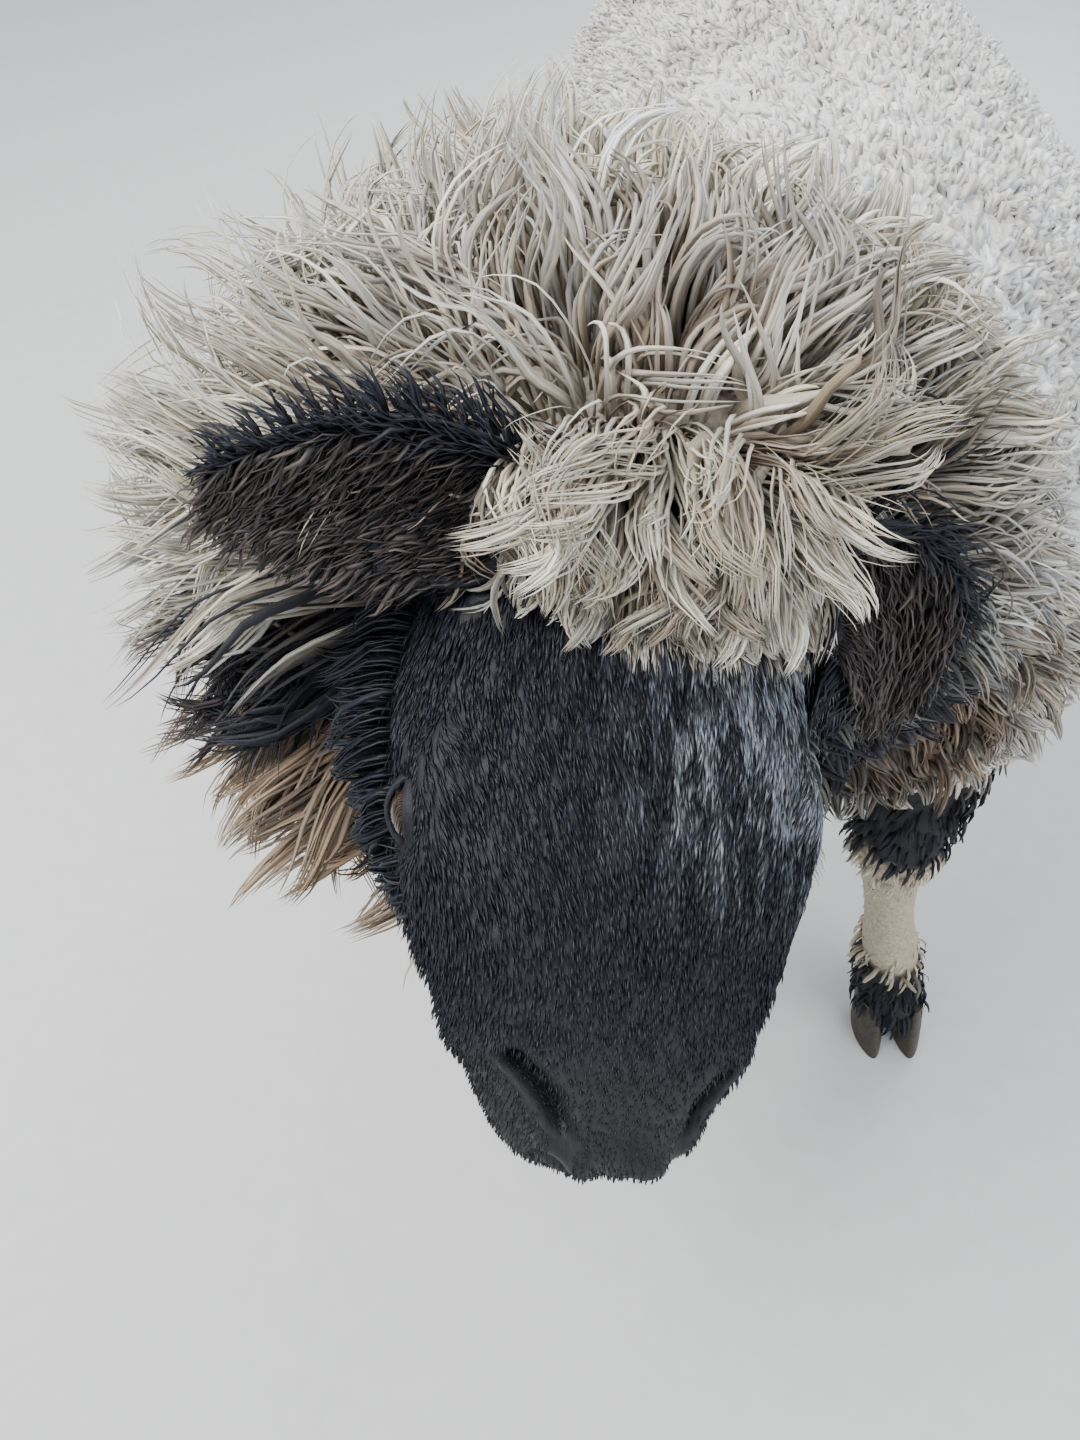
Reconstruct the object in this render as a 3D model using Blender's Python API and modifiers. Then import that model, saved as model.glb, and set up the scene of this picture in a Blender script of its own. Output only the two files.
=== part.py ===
"""A Valais Blacknose ewe as a still, life-size model, standing with its head held low and forward.

Metres, +Z up. The sheep faces -Y and its left side is +X. It is built about the middle of its own
trunk, and the last step sets the middle of its box on the origin, with the hooves on the floor.
"""
import math
import random

import bmesh
import bpy
import numpy as np
from mathutils import Matrix, Vector
from mathutils.bvhtree import BVHTree

# Sizes that drive the rest
GAP = 0.0003
UP = Vector((0.0, 0.0, 1.0))

# Trunk with its shorn fleece: place along the spine, height of the middle, half width, half height
TRUNK = [
    (-0.370, 0.545, 0.080, 0.090),
    (-0.335, 0.555, 0.128, 0.138),
    (-0.265, 0.570, 0.168, 0.176),
    (-0.170, 0.580, 0.192, 0.190),
    (-0.030, 0.582, 0.212, 0.194),
    (0.110, 0.580, 0.222, 0.196),
    (0.240, 0.588, 0.214, 0.188),
    (0.345, 0.602, 0.192, 0.174),
    (0.415, 0.612, 0.156, 0.148),
    (0.455, 0.618, 0.096, 0.098),
]
TRUNK_SIDES = 28
BARREL = 0.10
TRUNK_BACK = 0.4685

# Neck with the core of its wool: middle of each section, half width, half height
NECK = [
    ((-0.010, -0.130, 0.600), 0.165, 0.178),
    ((-0.060, -0.235, 0.628), 0.168, 0.172),
    ((-0.130, -0.320, 0.655), 0.172, 0.158),
    ((-0.165, -0.385, 0.680), 0.157, 0.140),
    ((-0.174, -0.432, 0.698), 0.120, 0.114),
    ((-0.180, -0.462, 0.706), 0.086, 0.082),
    ((-0.182, -0.486, 0.708), 0.046, 0.044),
]
NECK_SIDES = 24
NECK_TIERS = [(2, 12), (4, 16), (6, 18), (8, 19), (10, 19), (12, 19), (14, 18), (16, 16), (18, 14),
              (20, 11)]
NECK_CUT_TOP = (-0.185, 0.790)
NECK_CUT_BOTTOM = (-0.375, 0.430)

# Head: its frame starts at the front of the lips, and s runs back along the nose, t runs down from
# the line of the nose and u runs to the sheep's left
LIPS = Vector((-0.192, -0.660, 0.602))
LIPS_DEPTH = 0.040
HEAD_YAW = math.radians(5.0)
HEAD_SLOPE = math.radians(29.0)
HEAD_ROLL = math.radians(20.0)
HEAD = [
    (0.000, 0.026, 0.054, 0.020),
    (0.006, 0.012, 0.062, 0.036),
    (0.018, 0.003, 0.068, 0.047),
    (0.038, 0.000, 0.073, 0.0570),
    (0.060, -0.004, 0.078, 0.0635),
    (0.084, -0.007, 0.088, 0.0745),
    (0.106, -0.009, 0.100, 0.0835),
    (0.130, -0.009, 0.113, 0.0885),
    (0.155, -0.007, 0.122, 0.0900),
    (0.180, -0.004, 0.126, 0.0890),
    (0.205, 0.000, 0.124, 0.0850),
    (0.235, 0.006, 0.118, 0.0780),
    (0.265, 0.012, 0.112, 0.0720),
    (0.295, 0.018, 0.106, 0.0680),
    (0.318, 0.024, 0.100, 0.0600),
]
HEAD_SIDES = 24

# The block that holds the head, in the head's own axes: its slanted back runs from above to below
HEAD_ZONE_FRONT = -0.100
HEAD_ZONE_ABOVE = -0.115
HEAD_ZONE_BELOW = 0.160
HEAD_ZONE_SIDE = 0.116
HEAD_CUT_ABOVE = 0.318
HEAD_CUT_BELOW = 0.186

# Soft forms of the face: middle as (s, t, u), radii as (s, t, u), set on each side
FACE_PADS = {
    "lip": ((0.022, 0.042, 0.024), (0.025, 0.020, 0.025)),
    "nose": ((0.020, 0.016, 0.016), (0.020, 0.014, 0.018)),
    "chin": ((0.026, 0.066, 0.010), (0.022, 0.010, 0.020)),
    "brow": ((0.138, 0.022, 0.068), (0.026, 0.014, 0.018)),
    "cheekbone": ((0.118, 0.054, 0.068), (0.030, 0.012, 0.014)),
    "jaw": ((0.165, 0.086, 0.050), (0.036, 0.034, 0.026)),
}
EYE = (0.127, 0.040, 0.0745)
EYE_RADIUS = 0.0135
LID = 0.0032
LID_LENGTH = 0.0125
LID_HEIGHT = 0.0088
MOUTH_LINE = [(0.004, 0.052), (0.020, 0.055), (0.038, 0.058), (0.056, 0.060), (0.070, 0.056)]
MOUTH_WIDTH = 0.0022
NOSTRIL = [(0.009, 0.023, 0.011, 0.0030), (0.016, 0.013, 0.020, 0.0048),
           (0.027, 0.007, 0.031, 0.0048), (0.039, 0.011, 0.041, 0.0024)]

# Shape of a lock: how deep its root sinks in widths, height of its crest, and its taper from root to tip
LOCK_SUNK = 0.35
LOCK_CREST = 0.62
LOCK_TAPER = ((0.0, 0.25, 0.5, 0.75, 1.0), (0.80, 1.0, 0.86, 0.50, 0.0))

# Tiers of the mop: place back along the head, how many locks, and their length
FORELOCK_TIERS = [(0.279, 10, 0.070), (0.268, 11, 0.076), (0.255, 12, 0.070), (0.241, 12, 0.062),
                  (0.227, 11, 0.052), (0.214, 9, 0.042)]
MOP_START = (0.198, 0.050)
CHEEK_TIERS = [(0.262, 0.050, 0.052), (0.246, 0.086, 0.056), (0.226, 0.112, 0.052), (0.235, 0.066, 0.046),
               (0.214, 0.096, 0.044), (0.196, 0.116, 0.036)]

# Ears: length, greatest half width, thickness, and how each one is held
EAR_LENGTH = 0.118
EAR_HALF_WIDTH = 0.029
EAR_THICKNESS = 0.008
EAR_ROOT = (0.240, 0.008, 0.064)
EAR_SUNK = 0.014
EAR_SECTIONS = 8
EAR_POINTS = 6

# How each ear is held, left and right: its direction at the root and at the tip, where its cup faces, and
# how soon it droops; then the places of its long hair, as sections and shares of the half width
EAR_HOLD = {
    1: ((0.64, -0.05, 0.74), (0.06, -0.02, -1.00), (0.38, -0.92, 0.10), 0.58),
    -1: ((-0.90, -0.06, 0.44), (-0.95, -0.10, -0.06), (0.05, -0.90, 0.25), 1.0),
}
EAR_HAIR = ((3, (1.0,)), (4, (1.0,)), (5, (0.95,)), (6, (0.9, 0.25)), (7, (0.8, 0.1, -0.7)))
EAR_CLEARANCE = 2.0 * GAP
HAIR_CLEARANCE = 4.5 * GAP

# Legs: height, distance out from the middle, place along the body, half width, half depth
FRONT_LEG = [
    (0.500, 0.100, -0.225, 0.060, 0.085),
    (0.425, 0.104, -0.242, 0.053, 0.068),
    (0.365, 0.100, -0.258, 0.045, 0.054),
    (0.315, 0.093, -0.268, 0.041, 0.046),
    (0.280, 0.090, -0.274, 0.042, 0.045),
    (0.240, 0.094, -0.275, 0.034, 0.037),
    (0.200, 0.101, -0.276, 0.028, 0.031),
    (0.150, 0.112, -0.279, 0.026, 0.029),
    (0.105, 0.123, -0.284, 0.030, 0.033),
    (0.075, 0.129, -0.294, 0.029, 0.032),
    (0.050, 0.133, -0.302, 0.032, 0.036),
    (0.020, 0.135, -0.310, 0.028, 0.030),
]
HIND_LEG = [
    (0.590, 0.112, 0.310, 0.072, 0.125),
    (0.500, 0.126, 0.312, 0.068, 0.112),
    (0.430, 0.126, 0.325, 0.060, 0.088),
    (0.370, 0.121, 0.358, 0.048, 0.063),
    (0.320, 0.116, 0.394, 0.040, 0.052),
    (0.280, 0.113, 0.420, 0.037, 0.050),
    (0.235, 0.113, 0.420, 0.031, 0.039),
    (0.160, 0.115, 0.408, 0.027, 0.031),
    (0.105, 0.118, 0.398, 0.031, 0.034),
    (0.075, 0.120, 0.387, 0.029, 0.032),
    (0.050, 0.121, 0.378, 0.032, 0.036),
    (0.020, 0.122, 0.370, 0.028, 0.030),
]
LEG_SIDES = 14
LEG_SPAN = {"front": (-0.400, -0.140), "hind": (0.205, 0.540)}
LEG_CUT_HEIGHT = 0.355
LEG_CUT_RISE = 0.55
KNEE_HEIGHT = {"front": 0.236, "hind": 0.230}
KNEE_PATCH = {"front": (0.232, 0.345), "hind": (0.245, 0.350)}
FOOT_PATCH = 0.098

# Tiers of hair on the legs: height, how many locks, their length and width
THIGH_LOCKS = ((0.432, 6, 0.070, 0.050), (0.392, 5, 0.066, 0.048))
KNEE_LOCKS = ((0.338, 5, 0.056, 0.040), (0.300, 5, 0.052, 0.036))
FOOT_LOCKS = ((0.118, 4, 0.040, 0.026), (0.088, 5, 0.036, 0.026))

# Cloven hooves: each claw's length, width, height at the toe and at the heel
CLAW_LENGTH = 0.066
CLAW_WIDTH = 0.031
CLAW_SPACE = 0.004
HOOF_TOE_HEIGHT = 0.046
HOOF_HEEL_HEIGHT = 0.030
CLAW_SLOPE = 0.020
CLAW_SIDES = 8

# Tail: middle of each section behind the rump, and its radius
TAIL = [
    ((0.0, 0.440, 0.690), 0.040),
    ((0.0, 0.480, 0.680), 0.042),
    ((0.0, 0.512, 0.640), 0.043),
    ((0.0, 0.520, 0.560), 0.045),
    ((0.0, 0.520, 0.470), 0.044),
    ((0.0, 0.518, 0.390), 0.036),
    ((0.0, 0.516, 0.345), 0.020),
]
TAIL_SIDES = 12

# How many faces each kind of node keeps, and its looks as colour and roughness
FACES = {"head": 2560, "neck": 4300, "torso": 2900, "tail": 440, "upper_leg": 400, "lower_leg": 225}
LOOKS = {
    "shorn_fleece": ((0.72, 0.71, 0.67), 0.95),
    "long_wool": ((0.66, 0.63, 0.56), 0.95),
    "black_hair": ((0.018, 0.018, 0.022), 0.80),
    "leg_wool": ((0.58, 0.54, 0.45), 0.95),
    "eye": ((0.055, 0.032, 0.012), 0.08),
    "hoof_horn": ((0.045, 0.040, 0.036), 0.50),
}


def remove_everything():
    """Clears the file that the script starts in."""
    for thing in list(bpy.data.objects):
        bpy.data.objects.remove(thing, do_unlink=True)


def look(name):
    """Gives the material of that name, made on its first use."""
    if name in bpy.data.materials:
        return bpy.data.materials[name]
    colour, roughness = LOOKS[name]
    made = bpy.data.materials.new(name)
    made.use_nodes = True
    shader = made.node_tree.nodes["Principled BSDF"]
    shader.inputs["Base Color"].default_value = (*colour, 1.0)
    shader.inputs["Roughness"].default_value = roughness
    shader.inputs["Metallic"].default_value = 0.0
    made.diffuse_color = (*colour, 1.0)
    return made


def add_object(name, form, place):
    """Puts a bmesh or a mesh into a collection as an object."""
    if isinstance(form, bmesh.types.BMesh):
        mesh = bpy.data.meshes.new(name)
        bmesh.ops.triangulate(form, faces=form.faces)
        form.to_mesh(mesh)
        form.free()
    else:
        mesh = form
    made = bpy.data.objects.new(name, mesh)
    place.objects.link(made)
    return made


def loft(rings):
    """Closed skin through rings of equal counts of points, wound so that its faces point out."""
    form = bmesh.new()
    rows = [[form.verts.new(point) for point in ring] for ring in rings]
    for row, after in zip(rows, rows[1:]):
        for k in range(len(row)):
            nxt = (k + 1) % len(row)
            form.faces.new((row[k], row[nxt], after[nxt], after[k]))
    form.faces.new(rows[0][::-1])
    form.faces.new(rows[-1])
    bmesh.ops.recalc_face_normals(form, faces=form.faces)
    if form.calc_volume(signed=True) < 0.0:
        bmesh.ops.reverse_faces(form, faces=form.faces)
    return form


def oval(middle, across, upward, half_width, half_height, sides, square=2.0, barrel=0.0):
    """Ring of points round an oval, squarer as square rises, and wider low down with barrel."""
    points = []
    for k in range(sides):
        angle = 2.0 * math.pi * k / sides
        x = math.copysign(abs(math.cos(angle)) ** (2.0 / square), math.cos(angle))
        y = math.copysign(abs(math.sin(angle)) ** (2.0 / square), math.sin(angle))
        x *= 1.0 - barrel * y
        points.append(middle + across * (x * half_width) + upward * (y * half_height))
    return points


def smooth_stations(rows, extra):
    """Adds stations between those given, along a smooth curve through each column of numbers."""
    table = np.array(rows, float)
    found = []
    last = len(table) - 1
    for k in range(last):
        before, after = table[max(k - 1, 0)], table[min(k + 2, last)]
        for j in range(extra + 1):
            w = j / (extra + 1)
            slope_a = 0.5 * (table[k + 1] - before)
            slope_b = 0.5 * (after - table[k])
            found.append((2 * w**3 - 3 * w**2 + 1) * table[k] + (w**3 - 2 * w**2 + w) * slope_a
                         + (3 * w**2 - 2 * w**3) * table[k + 1] + (w**3 - w**2) * slope_b)
    found.append(table[last])
    return found


class HeadFrame:
    """The head's own axes: back along the nose, down from it, and to the sheep's left."""

    def __init__(self):
        level = Vector((math.sin(HEAD_YAW), math.cos(HEAD_YAW), 0.0))
        self.back = level * math.cos(HEAD_SLOPE) + UP * math.sin(HEAD_SLOPE)
        down = level * math.sin(HEAD_SLOPE) - UP * math.cos(HEAD_SLOPE)
        left = Vector((math.cos(HEAD_YAW), -math.sin(HEAD_YAW), 0.0))
        self.down = down * math.cos(HEAD_ROLL) - left * math.sin(HEAD_ROLL)
        self.left = left * math.cos(HEAD_ROLL) + down * math.sin(HEAD_ROLL)
        self.start = LIPS - self.down * LIPS_DEPTH

    def at(self, s, t, u):
        return self.start + self.back * s + self.down * t + self.left * u

    def place_of(self, point):
        """Where a point lies along the head's own axes."""
        away = Vector(point) - self.start
        return away.dot(self.back), away.dot(self.down), away.dot(self.left)

    def turn(self, s, t, u):
        return self.back * s + self.down * t + self.left * u

    def matrix(self, s, t, u, radii):
        axes = Matrix((self.back, self.down, self.left)).transposed().to_4x4()
        size = Matrix.Diagonal((*radii, 1.0))
        return Matrix.Translation(self.at(s, t, u)) @ axes @ size


HEAD_FRAME = HeadFrame()


def ball(matrix, around=16, rings=10):
    """Closed ellipsoid, a unit sphere carried by the matrix."""
    form = bmesh.new()
    bmesh.ops.create_uvsphere(form, u_segments=around, v_segments=rings, radius=1.0)
    bmesh.ops.transform(form, matrix=matrix, verts=form.verts)
    if matrix.determinant() < 0.0:
        bmesh.ops.reverse_faces(form, faces=form.faces)
    return form


def tube(points, radii, sides=8):
    """Closed tube of changing radius through the points."""
    rings = []
    for k, (point, radius) in enumerate(zip(points, radii)):
        along = (points[min(k + 1, len(points) - 1)] - points[max(k - 1, 0)]).normalized()
        across = along.orthogonal().normalized()
        if rings:
            across = (last - along * last.dot(along)).normalized()
        last = across
        rings.append(oval(point, across, along.cross(across), radius, radius, sides))
    return loft(rings)


def evaluated_mesh(thing):
    """The object's mesh with its modifiers applied, as new data."""
    bpy.context.view_layer.update()
    ready = thing.evaluated_get(bpy.context.evaluated_depsgraph_get())
    return bpy.data.meshes.new_from_object(ready)


def apply_modifiers(thing):
    """Applies all modifiers of an object and shares its evaluated mesh with nothing."""
    mesh = evaluated_mesh(thing)
    thing.modifiers.clear()
    thing.data = mesh
    return thing


def remove_object(thing):
    bpy.data.objects.remove(thing, do_unlink=True)


def fuse_soft(name, pieces, voxel, relax, faces, place):
    """Joins overlapping closed pieces into one soft skin, smooths it and thins it to that many faces."""
    whole = bmesh.new()
    for piece in pieces:
        mesh = bpy.data.meshes.new("piece")
        piece.to_mesh(mesh)
        piece.free()
        whole.from_mesh(mesh)
        bpy.data.meshes.remove(mesh)
    made = add_object(name, whole, place)
    remesh = made.modifiers.new("one_skin", "REMESH")
    remesh.mode = "VOXEL"
    remesh.voxel_size = voxel
    smooth = made.modifiers.new("relax", "SMOOTH")
    smooth.factor = 0.5
    smooth.iterations = relax
    apply_modifiers(made)
    return thin_out(made, faces)


def paint(thing, look_name, test):
    """Gives another material to the faces whose middle passes the test."""
    thing.data.materials.append(look(look_name))
    for face in thing.data.polygons:
        if test(face.center):
            face.material_index = len(thing.data.materials) - 1


def as_copy(name, thing, place):
    """Another object with the same shape and looks."""
    return add_object(name, thing.data.copy(), place)


def dress(thing, look_name):
    """Gives the whole object one material."""
    thing.data.materials.clear()
    thing.data.materials.append(look(look_name))
    return thing


def is_closed(mesh):
    """Whether each edge of a mesh belongs to two faces."""
    form = bmesh.new()
    form.from_mesh(mesh)
    closed = all(edge.is_manifold for edge in form.edges)
    form.free()
    return closed


def thin_out(thing, faces):
    """Brings an object down to that many triangles, or a few less where that leaves it open."""
    count = sum(len(face.vertices) - 2 for face in thing.data.polygons)
    thin = thing.modifiers.new("thin", "DECIMATE")
    thin.use_collapse_triangulate = True
    thin.ratio = min(1.0, faces / count)
    while not is_closed(evaluated_mesh(thing)) and thin.ratio > 0.1:
        thin.ratio *= 0.985
    return apply_modifiers(thing)


def combine_all(thing, forms, look_name, operation):
    """Joins closed pieces to an object, or cuts it by them, in one Boolean on a collection."""
    group = bpy.data.collections.new(thing.name + "_pieces")
    bpy.context.scene.collection.children.link(group)
    for k, form in enumerate(forms):
        dress(add_object("%s_piece_%d" % (thing.name, k), form, group), look_name)
    join = thing.modifiers.new("join", "BOOLEAN")
    join.operation = operation
    join.operand_type = "COLLECTION"
    join.collection = group
    join.solver = "MANIFOLD"
    apply_modifiers(thing)
    for piece in list(group.objects):
        remove_object(piece)
    bpy.data.collections.remove(group)
    return thing


def unite(thing, forms, look_name):
    return combine_all(thing, forms, look_name, "UNION")


def combine(thing, form, operation):
    """Cuts an object by one closed form, or keeps what the two share."""
    cutter = dress(add_object(thing.name + "_cutter", form, CUTTERS), thing.data.materials[0].name)
    cutter.hide_render = True
    cutter.display_type = "WIRE"
    step = thing.modifiers.new("cut", "BOOLEAN")
    step.operation = operation
    step.object = cutter
    step.solver = "MANIFOLD"
    apply_modifiers(thing)
    remove_object(cutter)
    return thing


def grown(form, margin):
    """The same closed form with every point moved out along its normal."""
    form.normal_update()
    for vert in form.verts:
        vert.co += vert.normal * margin
    return form


def triangles_of(mesh):
    """The mesh in triangles, cut up in the way that leaves it closed."""
    for method in ("BEAUTY", "EAR_CLIP"):
        form = bmesh.new()
        form.from_mesh(mesh)
        bmesh.ops.triangulate(form, faces=form.faces, ngon_method=method)
        if all(edge.is_manifold for edge in form.edges):
            break
    return form


def keep_largest(thing):
    """Leaves only the largest closed surface."""
    form = triangles_of(thing.data)
    left, best = set(form.verts), []
    while left:
        seed = left.pop()
        group, queue = [seed], [seed]
        while queue:
            for edge in queue.pop().link_edges:
                for vert in edge.verts:
                    if vert in left:
                        left.discard(vert)
                        group.append(vert)
                        queue.append(vert)
        if len(group) > len(best):
            best = group
    keep = set(best)
    bmesh.ops.delete(form, geom=[v for v in form.verts if v not in keep], context="VERTS")
    form.to_mesh(thing.data)
    form.free()
    return thing


def half_space(point, normal, size=1.6):
    """A large box whose one face passes through the point, on the side that the normal leaves."""
    form = bmesh.new()
    bmesh.ops.create_cube(form, size=size)
    turn = Vector(normal).to_track_quat("Z", "X").to_matrix().to_4x4()
    away = Matrix.Translation(Vector((0.0, 0.0, -size / 2)))
    bmesh.ops.transform(form, matrix=Matrix.Translation(point) @ turn @ away, verts=form.verts)
    return form


def keep_side(thing, point, normal):
    """Keeps what lies on the side that the normal points to, half a gap from the plane."""
    normal = Vector(normal).normalized()
    return combine(thing, half_space(point + normal * GAP / 2, normal), "DIFFERENCE")


def finish(thing):
    """Leaves a node as one closed surface, shaded smooth with its sharp edges kept."""
    keep_largest(thing)
    thing.data.shade_smooth()
    thing.data.set_sharp_from_angle(angle=math.radians(50))
    return thing


def surface_of(thing):
    """Search tree for the points of an object's surface."""
    form = bmesh.new()
    form.from_mesh(thing.data)
    tree = BVHTree.FromBMesh(form)
    form.free()
    return tree


def wool_lock(root, out, lie, length, width, draw, droop=0.35, lift=1.0, rings=4):
    """One flat tapered lock, crested on top: it leaves the skin, bends along the lie and sags to its tip."""
    out, lie = out.normalized(), lie.normalized()
    sway = draw.choice((-1.0, 1.0)) * draw.uniform(0.40, 0.80)
    side = lie.cross(out)
    side = side.normalized() if side.length > 0.05 else out.orthogonal().normalized()
    point = root - out * LOCK_SUNK * width
    step = length / rings
    form = bmesh.new()
    rows = []
    for k in range(rings + 1):
        w = k / rings
        heading = out * lift * (1.0 - w) ** 1.4 + lie * (0.35 + 0.9 * w) - UP * droop * w
        heading = (heading + side * sway * math.sin(5.2 * w + sway)).normalized()
        flat = (side - heading * side.dot(heading)).normalized()
        crest = heading.cross(flat)
        crest = crest if crest.dot(out) > 0.0 else -crest
        half = 0.5 * width * float(np.interp(w, *LOCK_TAPER))
        if k < rings:
            rows.append([form.verts.new(p) for p in (point + flat * half, point + crest * half * LOCK_CREST,
                                                     point - flat * half)])
            point = point + heading * step
    tip = form.verts.new(point)
    for row, after in zip(rows, rows[1:]):
        for k in range(3):
            form.faces.new((row[k], row[(k + 1) % 3], after[(k + 1) % 3], after[k]))
    for k in range(3):
        form.faces.new((rows[-1][k], rows[-1][(k + 1) % 3], tip))
    form.faces.new(rows[0][::-1])
    bmesh.ops.recalc_face_normals(form, faces=form.faces)
    if form.calc_volume(signed=True) < 0.0:
        bmesh.ops.reverse_faces(form, faces=form.faces)
    return form


def fleece_clump(root, out, lie, width, height, draw, around=7, rings=4):
    """One rounded clump of fleece, a little longer along the lie and half sunk in."""
    along = (lie - out * lie.dot(out)).normalized()
    side = out.cross(along)
    axes = Matrix((along, side, out)).transposed().to_4x4()
    size = Matrix.Diagonal((width * draw.uniform(0.50, 0.60), width * draw.uniform(0.44, 0.52), height, 1.0))
    spin = Matrix.Rotation(draw.uniform(0.0, math.pi), 4, "Z")
    place = Matrix.Translation(root - out * 0.12 * height)
    return ball(place @ axes @ size @ spin, around, rings)


def trunk_forms():
    """Closed lofts for the trunk and for the neck with its core of wool."""
    across = Vector((1.0, 0.0, 0.0))
    rings = [oval(Vector((0.0, y, z)), across, UP, w, h, TRUNK_SIDES, 2.15, BARREL)
             for y, z, w, h in smooth_stations(TRUNK, 2)]
    return [loft(rings), neck_form()]


def neck_form():
    """Closed loft along the bend of the neck."""
    rows = smooth_stations([(*middle, w, h) for middle, w, h in NECK], 3)
    middles = [Vector(row[:3]) for row in rows]
    rings = []
    for k, row in enumerate(rows):
        along = (middles[max(k - 1, 0)] - middles[min(k + 1, len(rows) - 1)]).normalized()
        across = along.cross(UP).normalized()
        rings.append(oval(middles[k], across, across.cross(along), row[3], row[4], NECK_SIDES))
    return loft(rings)


def leg_form(rows, side):
    """Closed loft of one leg, from inside the trunk down into the hoof."""
    across, along = Vector((1.0, 0.0, 0.0)), Vector((0.0, 1.0, 0.0))
    rings = [oval(Vector((side * x, y, z)), across, along, w, d, LEG_SIDES)
             for z, x, y, w, d in smooth_stations(rows, 2)]
    return loft(rings)


def tail_form():
    """Closed loft of the tail, out of the rump and down."""
    rows = smooth_stations([(*middle, radius) for middle, radius in TAIL], 2)
    middles = [Vector(row[:3]) for row in rows]
    across = Vector((1.0, 0.0, 0.0))
    rings = []
    for k, row in enumerate(rows):
        along = (middles[min(k + 1, len(rows) - 1)] - middles[max(k - 1, 0)]).normalized()
        rings.append(oval(middles[k], across, along.cross(across), row[3], row[3] * 0.8, TAIL_SIDES))
    return loft(rings)


def head_forms():
    """Closed loft and pads that make the bare head, which runs on a little way into the neck."""
    rings = []
    for s, top, bottom, half_width in smooth_stations(HEAD, 2):
        middle = HEAD_FRAME.at(s, 0.5 * (top + bottom), 0.0)
        rings.append(oval(middle, HEAD_FRAME.left, -HEAD_FRAME.down, half_width,
                          0.5 * (bottom - top), HEAD_SIDES, 2.25))
    forms = [loft(rings)]
    for (s, t, u), radii in FACE_PADS.values():
        for side in (-1, 1):
            forms.append(ball(HEAD_FRAME.matrix(s, t, side * u, radii)))
    return forms


def head_zone(grow):
    """The closed block that holds the head: its slanted back is where the neck meets it."""
    rings = []
    for u in (-HEAD_ZONE_SIDE - grow, HEAD_ZONE_SIDE + grow):
        rings.append([HEAD_FRAME.at(s, t, u) for s, t in (
            (HEAD_ZONE_FRONT, HEAD_ZONE_ABOVE - grow), (HEAD_CUT_ABOVE + grow, HEAD_ZONE_ABOVE - grow),
            (HEAD_CUT_BELOW + grow, HEAD_ZONE_BELOW + grow), (HEAD_ZONE_FRONT, HEAD_ZONE_BELOW + grow))])
    return loft(rings)


def neck_cut():
    """The plane between neck and trunk: a point and the normal towards the trunk."""
    top = Vector((0.0, *NECK_CUT_TOP))
    bottom = Vector((0.0, *NECK_CUT_BOTTOM))
    normal = (bottom - top).cross(Vector((1.0, 0.0, 0.0))).normalized()
    return top, normal if normal.y > 0.0 else -normal


def leg_block(which, side, grow):
    """The closed block that holds one leg: its slanted top runs under the trunk."""
    near, far = 0.004 - grow, 0.420
    rise = LEG_CUT_RISE
    start, end = LEG_SPAN[which]
    rings = []
    for y in (start - grow, end + grow):
        rings.append([Vector((side * near, y, -0.1)), Vector((side * far, y, -0.1)),
                      Vector((side * far, y, LEG_CUT_HEIGHT + rise * far + grow)),
                      Vector((side * near, y, LEG_CUT_HEIGHT + rise * near + grow))])
    return loft(rings)


def cast_out(tree, start, direction):
    """Where a ray from inside first meets the skin from far away, with the outward normal."""
    direction = direction.normalized()
    place, normal, _, _ = tree.ray_cast(start + direction * 0.6, -direction, 0.6)
    if place is None:
        return None
    return place, normal if normal.dot(direction) > 0.0 else -normal


def trunk_clumps(tree, draw):
    """Clumps of the fleece in close rows round the trunk, from the shoulders to the rump."""
    forms = []
    spacing, rows = 0.088, 10
    for row in range(rows):
        y = -0.315 + row * 0.084
        girth = 2.0 * math.pi * float(np.interp(y, [r[0] for r in TRUNK], [r[2] for r in TRUNK]))
        count = max(round(girth / spacing), 5)
        for k in range(count):
            angle = 2.0 * math.pi * (k + 0.5 * (row % 2) + draw.uniform(-0.16, 0.16)) / count
            start = Vector((0.0, y + draw.uniform(-0.014, 0.014), 0.590))
            hit = cast_out(tree, start, Vector((math.cos(angle), 0.0, math.sin(angle))))
            if hit:
                lie = Vector((0.0, 0.6, -0.5))
                width = spacing * draw.uniform(0.98, 1.20)
                forms.append(fleece_clump(hit[0], hit[1], lie, width, 0.023, draw))
    for k in range(7):
        angle = 2.0 * math.pi * k / 7
        start = Vector((0.05 * math.cos(angle), 0.40, 0.618 + 0.05 * math.sin(angle)))
        hit = tree.ray_cast(start + Vector((0.0, 0.4, 0.0)), Vector((0.0, -1.0, 0.0)), 0.6)
        if hit[0] and k != 2:
            forms.append(fleece_clump(hit[0], Vector((0.0, 1.0, 0.0)), -UP, 0.075, 0.014, draw))
    return forms


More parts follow.
